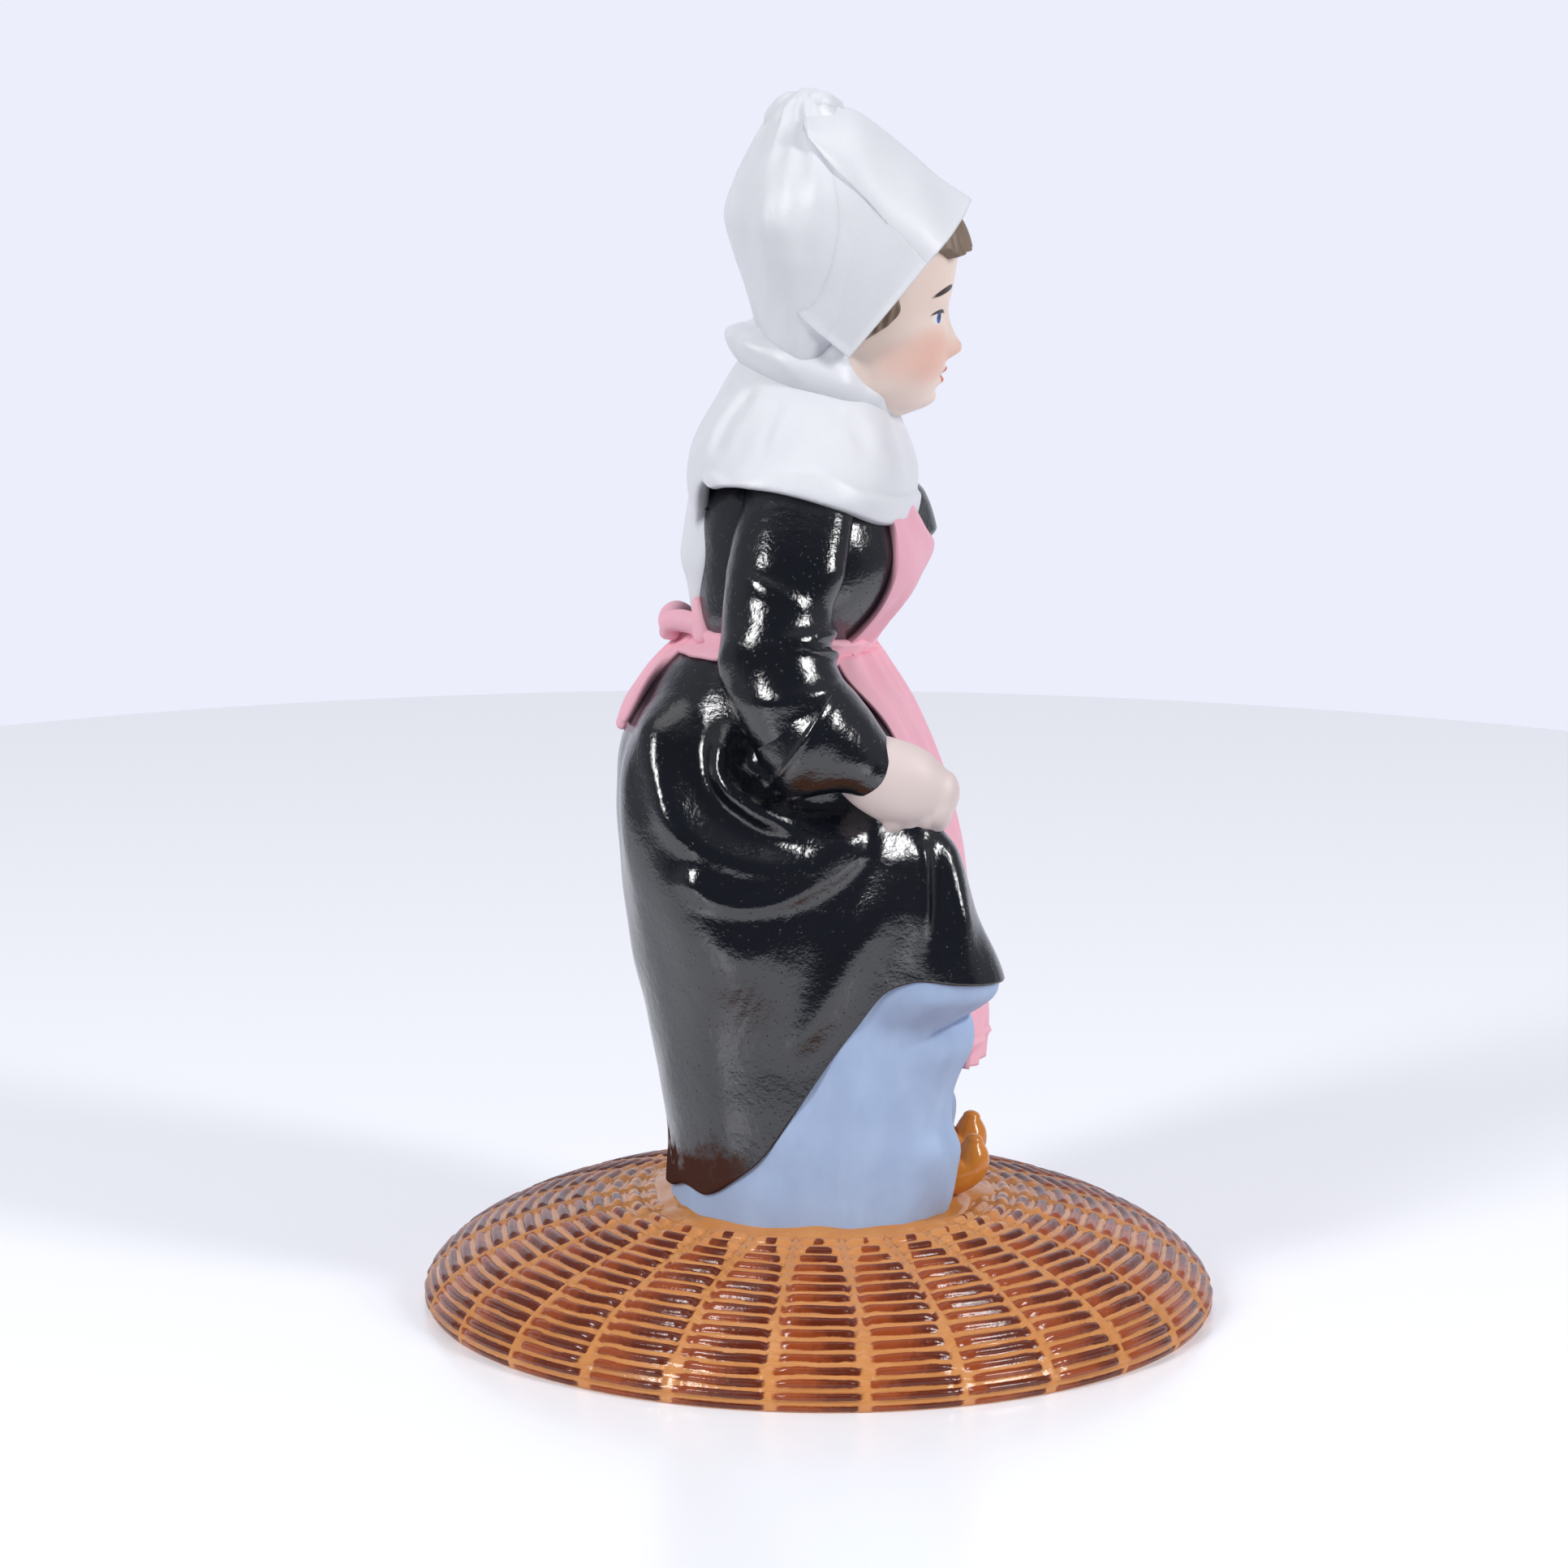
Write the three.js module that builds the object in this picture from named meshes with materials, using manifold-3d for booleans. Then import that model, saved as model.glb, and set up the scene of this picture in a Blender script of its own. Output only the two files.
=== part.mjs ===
// A ceramic figurine: a girl in folk dress who lifts her skirt, on a domed base of basket work.
// Millimetres, +Z up. +X is the way the figure faces and +Y is towards her left hand.
// The origin is on the table, at the centre of the base's foot ring.
// The sections are made as the potter makes them: cast apart, then set on each other with a thin seam.
import * as THREE from "three";
import { mergeVertices } from "three/addons/utils/BufferGeometryUtils.js";
import Module from "manifold-3d";

const wasm = await Module();
wasm.setup();

// Driving dimensions

const SEAM = 0.3; // gap between sections that touch

const BASE_RADIUS = 44; // foot ring of the basket dome
const BASE_RISE = 13.2; // table to the dome's crown
const BASE_WALL = 3; // cast wall of the dome
const STAKES = 26; // upright canes of the basket work
const WEAVE_ROWS = 15; // rows of weavers from the rim to the mound
const WEAVE_RELIEF = 0.5; // how far a weaver stands out between two stakes
const STAKE_RELIEF = 0.3; // how far a stake stands out
const SKIRT_FOOT = 18.4; // half the width of the skirt where it meets the ground
const MOUND_EDGE = 2.4; // how far the plain mound shows beyond the skirt's foot
const MOUND_RADIUS = SKIRT_FOOT + MOUND_EDGE;
const MOUND_THICKNESS = 1.1;

const SKIRT_LENGTH = 61.8; // crown of the base to the waist
const PETTICOAT_INSET = 1.3; // overskirt surface to petticoat surface
const SIDE_HEM = 27.1; // lifted hem of the overskirt above the crown
const FRONT_HEM = 19.8; // hem of the overskirt behind the apron
const BACK_HEM = 2.4; // hem of the overskirt at the back corners
const OPEN_HALF_WIDTH = 8.5; // half of the gap in front where the feet show
const OPEN_DEPTH = 9; // how far that gap reaches back from the skirt's front
const APRON_HEM = 14.2;
const APRON_HALF_WIDTH = 8.2;
const APRON_THICKNESS = 1.2;

const TORSO_LENGTH = 24.5; // waist to the collar line
const TORSO_TURN = -7; // degrees that the chest is turned towards her right hand
const BIB_HALF_WIDTH = 6.8;
const BIB_HEIGHT = 15.5;
const BIB_THICKNESS = 1.0;
const BAND_HEIGHT = 2.6; // apron's waistband
const BAND_THICKNESS = 1.2;
const BOW_SIZE = 2.0; // radius of the bow's knot
const TAIL_LENGTH = 8.5;
const TAIL_WIDTH = 2.4;
const TAIL_THICKNESS = 1.1;

const SLEEVE_RADIUS = 5.3;
const CUFF_RADIUS = 5.9;
const FINGER_RADIUS = 1.35;
const SHAWL_HEM = 17.2; // hem of the shawl over the arm, above the waist
const SHAWL_POINT = 4.2; // lowest point of the shawl's back corner, above the waist
const SHAWL_TAIL_HALF_WIDTH = 3.4;

const HEAD_HALF_WIDTH = 8.8;
const NECK_RADIUS = 5.2;
const HAIR_THICKNESS = 0.8;
const WING_THICKNESS = 0.9;
const KNOT_RADIUS = 3.4; // gathered knot on top of the bonnet
const STOCKING_RADIUS = 2.7;
const FEET_APART = 4.6; // centre plane to the middle of each leg
const CLOG_LENGTH = 11.5;
const CLOG_HALF_WIDTH = 2.9;
const CLOG_TOE_RISE = 6.4; // tip of the turned-up toe above the sole

// Levels above the crown of the base
const WAIST = SKIRT_LENGTH;
const COLLAR = WAIST + TORSO_LENGTH;
const RIGHT = -1;
const LEFT = 1;

// Finishes

function finish(color, roughness) {
  return new THREE.MeshStandardMaterial({ color, roughness, metalness: 0 });
}

const caneBrown = finish(0xb8732f, 0.35);
const glazedBlack = finish(0x14161a, 0.15);
const softBlue = finish(0x93a9d6, 0.55);
const apronPink = finish(0xe39bb4, 0.5);
const bisqueWhite = finish(0xdcdce2, 0.6);
const bisqueSkin = finish(0xe6cfc8, 0.6);
const hairBrown = finish(0x8a7766, 0.6);
const clogOrange = finish(0xcf8636, 0.3);

// Solids

// A closed three.js geometry as a solid.
function solidOfGeometry(geometry) {
  const bare = new THREE.BufferGeometry();
  bare.setAttribute("position", geometry.getAttribute("position"));
  bare.setIndex(geometry.getIndex());
  const merged = mergeVertices(bare, 1e-4);
  const vertProperties = merged.getAttribute("position").array;
  const triVerts = new Uint32Array(merged.getIndex().array);
  return new wasm.Manifold(new wasm.Mesh({ numProp: 3, vertProperties, triVerts }));
}

// A solid joined from several that overlap.
function join(first, ...others) {
  return others.reduce((whole, other) => whole.add(other), first);
}

// A solid less what its neighbours take, without the crumbs that a cut can leave beside it.
function cut(solid, ...tools) {
  const rest = tools.reduce((whole, tool) => whole.subtract(tool), solid);
  return rest.decompose().sort((a, b) => b.volume() - a.volume())[0];
}

function mirrored(solid) {
  return solid.mirror([0, 1, 0]);
}

// The same solid on the figure's right or left; forms are drawn on the left.
function onSide(side, solid) {
  return side === LEFT ? solid : mirrored(solid);
}

// Curves, rings and lofts

// A smooth curve through [position, value] pairs.
function curve(pairs) {
  const cubic = new THREE.CubicInterpolant(
    pairs.map((pair) => pair[0]),
    pairs.map((pair) => pair[1]),
    1,
  );
  return (at) => cubic.evaluate(at)[0];
}

// Sections that flow into each other: stations of [at, back, front, half] with at along the piece.
function sections(stations) {
  const back = curve(stations.map((s) => [s[0], s[1]]));
  const front = curve(stations.map((s) => [s[0], s[2]]));
  const half = curve(stations.map((s) => [s[0], s[3]]));
  return (at) => ({ back: back(at), front: front(at), half: half(at) });
}

function roundedPower(value, square) {
  return Math.sign(value) * Math.abs(value) ** (2 / square);
}

// One level ring of a rounded section, counter-clockwise seen from above.
function ring(z, section, sides, square, grow, relief = () => 0) {
  const centre = (section.front + section.back) / 2;
  const length = (section.front - section.back) / 2 + grow;
  const half = section.half + grow;
  return Array.from({ length: sides }, (_, i) => {
    const angle = (2 * Math.PI * i) / sides;
    const x = centre + length * roundedPower(Math.cos(angle), square);
    const y = half * roundedPower(Math.sin(angle), square);
    const out = relief(x, y, z, angle);
    return new THREE.Vector3(x + out * Math.cos(angle), y + out * Math.sin(angle), z);
  });
}

function middle(points) {
  const sum = points.reduce((total, p) => total.add(p), new THREE.Vector3());
  return sum.divideScalar(points.length);
}

// A solid through a row of rings with the same number of points, closed by a fan at each end.
function loft(rings) {
  const sides = rings[0].length;
  const points = rings.flat();
  points.push(middle(rings[0]), middle(rings.at(-1)));
  const start = rings.length * sides;
  const end = start + 1;
  const lastRow = (rings.length - 1) * sides;
  const triangles = [];
  for (let side = 0; side < sides; side += 1) {
    const next = (side + 1) % sides;
    for (let row = 0; row < lastRow; row += sides) {
      triangles.push([row + side, row + next, row + sides + next]);
      triangles.push([row + side, row + sides + next, row + sides + side]);
    }
    triangles.push([start, next, side]);
    triangles.push([end, lastRow + side, lastRow + next]);
  }
  const surface = new THREE.BufferGeometry().setFromPoints(points);
  surface.setIndex(triangles.flat());
  return solidOfGeometry(surface);
}

// Evenly spaced numbers, both ends included.
function steps(from, to, count) {
  return Array.from({ length: count + 1 }, (_, i) => from + ((to - from) * i) / count);
}

// How far a grown solid's first and last level move apart; the levels between stay.
function endLift(index, count, grow) {
  if (index === 0) return -grow;
  return index === count - 1 ? grow : 0;
}

// A solid along a smooth path, with a round or flattened section that changes along it.
// radius and flatness are read from 0 to 1 along the path; flat sections are thin across `across`.
function tube(path, { radius, flatness = () => 1, sides, rows, grow = 0, across = [0, 1, 0] }) {
  const spine = new THREE.CatmullRomCurve3(path.map((p) => new THREE.Vector3(...p)));
  const thin = new THREE.Vector3(...across);
  const rings = steps(0, 1, rows).map((at) => {
    const ahead = spine.getTangentAt(at);
    const wide = new THREE.Vector3().crossVectors(thin, ahead).normalize();
    const deep = new THREE.Vector3().crossVectors(ahead, wide);
    const centre = spine.getPointAt(at).addScaledVector(ahead, grow * (2 * at - 1));
    return Array.from({ length: sides }, (_, i) => {
      const angle = (2 * Math.PI * i) / sides;
      const size = radius(at) + grow;
      const depth = radius(at) * flatness(at) + grow;
      return centre
        .clone()
        .addScaledVector(wide, size * Math.cos(angle))
        .addScaledVector(deep, depth * Math.sin(angle));
    });
  });
  return loft(rings);
}

// A rounded lump with its own three radii.
function lump(centre, radii, grow = 0) {
  const ball = new THREE.SphereGeometry(1, 10, 6);
  ball.rotateX(Math.PI / 2);
  ball.scale(radii[0] + grow, radii[1] + grow, radii[2] + grow);
  ball.translate(...centre);
  return solidOfGeometry(ball);
}

// A flat outline in the side view, [x, z] points, carried across the figure from one y to another.
function sidePrism(outline, from, to) {
  const shape = new THREE.Shape(outline.map((p) => new THREE.Vector2(p[0], p[1])));
  const prism = new THREE.ExtrudeGeometry(shape, { depth: to - from, bevelEnabled: false });
  prism.rotateX(Math.PI / 2);
  prism.translate(0, to, 0);
  return solidOfGeometry(prism);
}

const FAR = 90; // beyond every surface of the figure

// The half space on one side of the slanted plane through two points of the side view.
// It lies to the right of the way from the first point to the second.
function halfSpace(from, to, shift = 0) {
  const along = new THREE.Vector2(to[0] - from[0], to[1] - from[1]).normalize();
  const right = new THREE.Vector2(along.y, -along.x);
  const start = new THREE.Vector2(...from).addScaledVector(right, shift);
  const corner = (a, r) => start.clone().addScaledVector(along, a).addScaledVector(right, r).toArray();
  return sidePrism([corner(-FAR, 0), corner(-FAR, FAR), corner(FAR, FAR), corner(FAR, 0)], -FAR, FAR);
}

// Basket base: a dome woven of stakes and weavers, hollow below

const WEAVE_START = MOUND_RADIUS + 0.4; // the weave runs from here out to the rim
const SAMPLES_PER_CELL = 2; // a stake and the middle of the weaver between stakes

function domeHeight(radius, grow = 0) {
  const share = radius / (BASE_RADIUS + grow);
  return (BASE_RISE + grow) * Math.sqrt(Math.max(0, 1 - share * share)) - BASE_RISE;
}

function wovenRing(at, relief) {
  const innerAngle = Math.acos(WEAVE_START / BASE_RADIUS);
  const profile = new THREE.EllipseCurve(0, 0, BASE_RADIUS, BASE_RISE, 0, innerAngle);
  const point = profile.getPointAt(at);
  const tangent = profile.getTangentAt(at);
  const count = STAKES * SAMPLES_PER_CELL;
  return Array.from({ length: count }, (_, i) => {
    const angle = (2 * Math.PI * i) / count;
    const out = i % SAMPLES_PER_CELL === 0 ? relief.stake : relief.weaver;
    const radius = point.x + out * tangent.y;
    const z = point.y - out * tangent.x - BASE_RISE;
    return new THREE.Vector3(radius * Math.cos(angle), radius * Math.sin(angle), z);
  });
}

function plainRing(radius, z, count) {
  return ring(z, { back: -radius, front: radius, half: radius }, count, 2, 0);
}

function wickerBase() {
  const count = STAKES * SAMPLES_PER_CELL;
  const woven = steps(0, 1, 2 * WEAVE_ROWS).map((at, i) => {
    const weaver = i % 2 === 1 ? WEAVE_RELIEF : 0;
    const stake = at < 1 ? STAKE_RELIEF : 0;
    return wovenRing(at, { weaver, stake });
  });
  const crown = [0.8, 0.45].map((share) => {
    const radius = share * WEAVE_START;
    return plainRing(radius, domeHeight(radius), count);
  });
  const dome = loft([...woven, ...crown]);
  const hollowRadius = BASE_RADIUS - BASE_WALL;
  const hollowRise = BASE_RISE - BASE_WALL;
  const arc = new THREE.EllipseCurve(0, 0, hollowRadius, hollowRise, 0, Math.PI / 2).getPoints(6);
  const below = new THREE.Vector2(hollowRadius, -BASE_WALL);
  const profile = [new THREE.Vector2(0, -BASE_WALL), below, ...arc];
  profile.at(-1).x = 0;
  const hollow = new THREE.LatheGeometry(profile, STAKES);
  hollow.rotateX(Math.PI / 2);
  hollow.translate(0, 0, -BASE_RISE);
  return cut(dome, solidOfGeometry(hollow));
}

function mound(grow = 0) {
  const rim = MOUND_RADIUS + grow;
  const sides = STAKES;
  const rings = [
    plainRing(rim - 1, domeHeight(rim) - BASE_WALL, sides),
    plainRing(rim, domeHeight(rim, SEAM) + 0.1 + grow, sides),
    plainRing(rim - 1.6, domeHeight(rim - 1.6) + MOUND_THICKNESS + grow, sides),
    plainRing(rim / 2, domeHeight(rim / 2) + MOUND_THICKNESS + grow, sides),
  ];
  return loft(rings);
}

function plainDome(grow) {
  const radii = [1, 0.8, 0.5, 0.2].map((share) => share * MOUND_RADIUS * 1.2);
  const rings = radii.map((radius) => plainRing(radius, domeHeight(radius, grow), STAKES));
  return loft([plainRing(radii[0], -BASE_RISE, STAKES), ...rings]);
}

// Skirts

// Shares of the skirt's length with the back, front and half width of the overskirt there.
const skirtSections = sections([
  [-0.06, -17.2, 15.6, SKIRT_FOOT],
  [0.02, -17.0, 15.6, SKIRT_FOOT],
  [0.11, -16.9, 15.6, SKIRT_FOOT],
  [0.21, -17.9, 15.8, 18.6],
  [0.32, -19.2, 16.6, 19.0],
  [0.43, -20.8, 16.0, 19.8],
  [0.53, -21.7, 15.0, 20.2],
  [0.63, -22.3, 14.2, 20.1],
  [0.73, -22.6, 12.6, 19.4],
  [0.82, -21.9, 10.4, 17.6],
  [0.89, -20.0, 8.4, 15.4],
  [0.95, -17.4, 6.6, 12.8],
  [1.0, -14.2, 5.2, 10.4],
]);
const SKIRT_SQUARE = 2.5;

function skirtAt(z) {
  return skirtSections(z / SKIRT_LENGTH);
}

// Folds that sweep from the waist round the hip to the lifting hand: [x, z] in the side view.
const HAND_GRIP = WAIST - 18.4; // where the cloth leaves the fist
const sweepingFolds = [
  { way: [[-16.7, 57], [-19, 50], [-17.5, 41], [-13, 32], [-6, 27.5]], height: 0.7, width: 2.2 },
  { way: [[-15, 55], [-14.5, 45], [-10.7, 41], [-5, 39.6], [1, 41.8], [7, 44]], height: 0.8, width: 1.9 },
  { way: [[-9.9, 54], [-10.8, 49.3], [-7, 45.6], [-2, 43.2], [4, 43.4]], height: 0.7, width: 1.6 },
  { way: [[-13, 38], [-7, 35.8], [-1, 37.4], [4, 41], [7, 44]], height: 0.6, width: 1.6 },
  { way: [[8, 43], [5, 37], [1.4, 31], [-1, 25], [-4.4, 19]], height: 0.7, width: 1.9 },
].map(({ way, height, width }) => {
  const path = new THREE.SplineCurve(way.map((p) => new THREE.Vector2(p[0], (p[1] * WAIST) / 61.8)));
  return { points: path.getPoints(24), height, width };
});

function foldRelief(x, y, z) {
  const spot = new THREE.Vector2(x, z);
  const sideways = Math.min(1, Math.abs(y) / 8);
  return sweepingFolds.reduce((out, fold) => {
    const gap = Math.min(...fold.points.map((p) => p.distanceTo(spot)));
    return out + sideways * fold.height * Math.exp(-((gap / fold.width) ** 2));
  }, 0);
}

function skirtForm(grow, from, to, rows, sides, relief) {
  const levels = steps(from, to, rows);
  return loft(levels.map((z) => ring(z, skirtAt(z), sides, SKIRT_SQUARE, grow, relief)));
}

// The gathered cloth that hangs from each fist, drawn on the left: a cone that opens to the hem.
function swag(grow, bottom, top) {
  const fall = (HAND_GRIP - SIDE_HEM) / 17.2;
  const radius = curve([[0, 3.0], [6 * fall, 4.5], [12 * fall, 5.8], [17.2 * fall, 6.6], [40, 7]]);
  return loft(
    steps(bottom, top, 4).map((z) => {
      const down = HAND_GRIP - z;
      const x = 10.4 + (2.5 * down) / (HAND_GRIP - SIDE_HEM);
      const r = radius(down) + grow;
      const centred = ring(z, { back: x - r, front: x + r, half: r * 0.88 }, 12, 2, 0);
      return centred.map((p) => p.setY(p.y + 16.4 - (1.9 * down) / (HAND_GRIP - SIDE_HEM)));
    }),
  );
}

// The blue lining below each swag, which runs in to the petticoat.
function lining(grow) {
  const drop = curve([[-8, 4.6], [-6, 5.0], [-3, 5.4], [0, 6.2], [2, 6.2]]);
  return loft(
    steps(-8 - grow, 1.5 + grow, 4).map((rise) => {
      const r = drop(rise) + grow;
      const x = 12.7 + 0.32 * Math.min(0, rise);
      const centred = ring(SIDE_HEM + rise, { back: x - r, front: x + r, half: r * 0.86 }, 12, 2, 0);
      return centred.map((p) => p.setY(p.y + 14.4 + 0.2 * Math.min(0, rise)));
    }),
  );
}

// The line of the lifted hem in the side view, from the back corner up to the swag.
function hemLine() {
  const rise = SIDE_HEM - BACK_HEM;
  const hem = [[-15, 0.03], [-12.4, 0], [-9.6, 0.07], [-5.7, 0.22], [-2.7, 0.4], [0.8, 0.62], [4.2, 0.8]];
  const swagHem = [[6.8, 0.95], [9.4, 1], [14.6, 1], [FAR, 1]];
  return [...hem, ...swagHem].map(([x, share]) => [x, BACK_HEM + share * rise]);
}

// What lies below the overskirt's hem: the lifted sides, drawn on the left, and the gap in front.
function belowSideHem() {
  return sidePrism([...hemLine(), [FAR, -FAR], [-15, -FAR]], OPEN_HALF_WIDTH, FAR);
}

function belowFrontHem() {
  const back = skirtAt(FRONT_HEM).front - OPEN_DEPTH;
  const outline = [[back, -FAR], [FAR, -FAR], [FAR, FRONT_HEM], [back, FRONT_HEM]];
  return sidePrism(outline, -OPEN_HALF_WIDTH - SEAM, OPEN_HALF_WIDTH + SEAM);
}

// The recess in the petticoat that the legs stand in, with a rounded back.
function legRecess() {
  const front = skirtAt(0).front;
  const roof = FRONT_HEM + 2;
  const rings = [-FAR, roof - 3, roof].map((z, i) => {
    const inset = i === 2 ? 2 : 0;
    const section = { back: front - OPEN_DEPTH + inset, front: front + FAR, half: OPEN_HALF_WIDTH - inset };
    return ring(z, section, 16, 6, 0);
  });
  return loft(rings);
}

const PETTICOAT_TOP = SIDE_HEM + 6; // inside the overskirt, which is closed above it

function petticoatForm(grow) {
  const inset = grow - PETTICOAT_INSET;
  const body = skirtForm(inset, -4 - grow, PETTICOAT_TOP + grow, 5, 24);
  const side = lining(grow);
  return join(body, side, mirrored(side));
}

function overskirtBody(grow) {
  return skirtForm(grow, -3, WAIST - SEAM + grow, 13, 28, foldRelief);
}

function overskirtForm() {
  const body = overskirtBody(0);
  const side = swag(0, SIDE_HEM - 2, HAND_GRIP);
  return join(body, side, mirrored(side));
}

// Feet

function clogForm(grow = 0) {
  const heel = skirtAt(0).front + 3 - CLOG_LENGTH;
  const sole = domeHeight(heel + CLOG_LENGTH / 2) + MOUND_THICKNESS;
  const rise = CLOG_TOE_RISE - 3;
  const path = [
    [heel, FEET_APART, sole + 2.1],
    [heel + 0.35 * CLOG_LENGTH, FEET_APART, sole + 2.2],
    [heel + 0.72 * CLOG_LENGTH, FEET_APART + 0.4, sole + 2.4],
    [heel + 0.92 * CLOG_LENGTH, FEET_APART + 0.6, sole + 2.5 + 0.45 * rise],
    [heel + CLOG_LENGTH, FEET_APART + 0.7, sole + 3 + rise],
  ];
  const girth = curve([[0, 0.5], [0.1, 0.92], [0.35, 1], [0.65, 0.95], [0.85, 0.6], [1, 0.22]]);
  return tube(path, { radius: (at) => CLOG_HALF_WIDTH * girth(at), sides: 8, rows: 8, grow });
}

function stockingForm(grow = 0) {
  const ankle = skirtAt(0).front - 3.6;
  const top = FRONT_HEM + 2 - SEAM;
  const path = [[ankle, FEET_APART, -1], [ankle - 0.3, FEET_APART, 5], [ankle - 1, FEET_APART, top]];
  const girth = curve([[0, 1.05], [0.25, 0.85], [0.6, 1], [1, 1.15]]);
  return tube(path, { radius: (at) => STOCKING_RADIUS * girth(at), sides: 10, rows: 4, grow });
}

// Torso

// Shares of the torso's length with the bodice's back, front and half width.
const bodiceSections = sections([
  [0, -13.8, 4.8, 10.0],
  [0.09, -13.9, 6.6, 10.5],
  [0.21, -14.0, 9.0, 11.4],
  [0.37, -14.0, 10.7, 12.2],
  [0.53, -13.9, 10.3, 12.5],
  [0.66, -13.6, 8.9, 12.2],
  [0.78, -12.0, 6.8, 10.2],
  [0.86, -9.6, 4.6, 8.0],
]);
const TORSO_CENTRE = -3.5; // the chest turns about this upright line

function turned(solid) {
  return solid.translate([-TORSO_CENTRE, 0, 0]).rotate([0, 0, TORSO_TURN]).translate([TORSO_CENTRE, 0, 0]);
}

function bodiceForm(grow = 0) {
  const levels = steps(0, 0.86, 8);
  return turned(
    loft(
      levels.map((at, i) => {
        const lift = endLift(i, levels.length, grow);
        return ring(WAIST + at * TORSO_LENGTH + lift, bodiceSections(at), 24, 2.3, grow);
      }),
    ),
  );
}

function bibRegion(grow = 0) {
  const base = bodiceSections(0.1).front - 5;
  const top = WAIST + BIB_HEIGHT + grow;
  const half = BIB_HALF_WIDTH + grow;
  const outline = [[-half * 0.8, WAIST], [half * 0.8, WAIST]];
  const upper = [[half, WAIST + 0.6 * BIB_HEIGHT], [half * 0.85, top]];
  const mirroredUpper = upper.map(([y, z]) => [-y, z]).reverse();
  const shape = new THREE.Shape([...outline, ...upper, ...mirroredUpper].map((p) => new THREE.Vector2(...p)));
  const prism = new THREE.ExtrudeGeometry(shape, { depth: FAR, bevelEnabled: false });
  prism.rotateX(Math.PI / 2);
  prism.rotateZ(Math.PI / 2);
  prism.translate(base - TORSO_CENTRE, 0, 0);
  return turned(solidOfGeometry(prism).translate([TORSO_CENTRE, 0, 0]));
}

// The apron's waistband lies in the join of skirt and bodice.
function waistbandForm(grow = 0) {
  const profile = [
    [-0.55, 0.5],
    [-0.3, 1],
    [0.3, 1],
    [0.55, 0.5],
  ];
  return loft(
    profile.map(([share, out]) => {
      const z = WAIST + share * (BAND_HEIGHT + 2 * grow);
      const below = skirtAt(WAIST);
      const above = { back: below.back, front: below.front + share * 2, half: below.half };
      const around = z < WAIST ? skirtAt(z) : above;
      return ring(z, around, 24, SKIRT_SQUARE, BAND_THICKNESS * out + grow);
    }),
  );
}

// The apron's panel: a sheet over the front of the overskirt.
function apronForm(grow) {
  return skirtForm(grow, APRON_HEM, WAIST - BAND_HEIGHT * 0.62, 10, 32);
}

function apronRegion() {
  const flare = 0.8;
  const top = WAIST + 1;
  const half = APRON_HALF_WIDTH;
  const outline = [[-half, APRON_HEM - 1], [half, APRON_HEM - 1], [half * flare, top], [-half * flare, top]];
  const shape = new THREE.Shape(outline.map((p) => new THREE.Vector2(...p)));
  const prism = new THREE.ExtrudeGeometry(shape, { depth: FAR, bevelEnabled: false });
  prism.rotateX(Math.PI / 2);
  prism.rotateZ(Math.PI / 2);
  return solidOfGeometry(prism);
}

// The bow at the back: a knot with two loops, and two tails that lie on the skirt.
function bowForm(grow = 0) {
  const back = skirtAt(WAIST).back - BAND_THICKNESS - SEAM;
  const knot = lump([back - BOW_SIZE * 0.8, 0, WAIST + 0.4], [BOW_SIZE, BOW_SIZE, BOW_SIZE], grow);
  const loop = lump([back - BOW_SIZE * 0.4, 3, WAIST + 1.4], [BOW_SIZE * 0.9, 3, BOW_SIZE * 1.1], grow);
  return join(knot, loop, mirrored(loop));
}

function tailForm(side) {
  const lean = side === LEFT ? 1.7 : 2.9;
  const path = steps(0, 1, 5).map((at) => {
    const z = WAIST - 1.6 - TAIL_LENGTH * at;
    const y = (1.4 + lean * at) * side;
    const back = skirtAt(z).back - SEAM - TAIL_THICKNESS * 0.55;
    return [back, y, z];
  });
  const half = TAIL_THICKNESS / 2;
  const taper = curve([[0, 0.7], [0.3, 1], [0.8, 0.95], [1, 0.4]]);
  return tube(path, {
    radius: () => half,
    flatness: (at) => (TAIL_WIDTH * taper(at)) / TAIL_THICKNESS,
    sides: 10,
    rows: 6,
  });
}

// Arms, drawn on the left

const ELBOW = [-4.9, 18.2, WAIST - 0.6];
const WRIST = [4.2, 18.6, WAIST - 10.9];

function sleeveForm(grow = 0) {
  const path = [
    [-3.4, 11.6, WAIST + 17.4],
    [-4.4, 15, WAIST + 11.4],
    [-5.3, 17, WAIST + 5],
    ELBOW,
    [-1.9, 18.8, WAIST - 4.8],
    [0.2, 18.8, WAIST - 6.9],
  ];
  const girth = curve([[0, 0.86], [0.3, 0.96], [0.6, 1], [0.8, 1.08], [1, 1.06]]);
  return tube(path, { radius: (at) => SLEEVE_RADIUS * girth(at), sides: 12, rows: 9, grow });
}

function cuffForm(grow = 0) {
  const path = [[-1.2, 18.8, WAIST - 5.5], [1.4, 18.8, WAIST - 8.1], WRIST];
  const girth = curve([[0, 1.05], [0.5, 1], [1, 0.84]]);
  return tube(path, { radius: (at) => CUFF_RADIUS * girth(at), sides: 12, rows: 3, grow });
}

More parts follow.
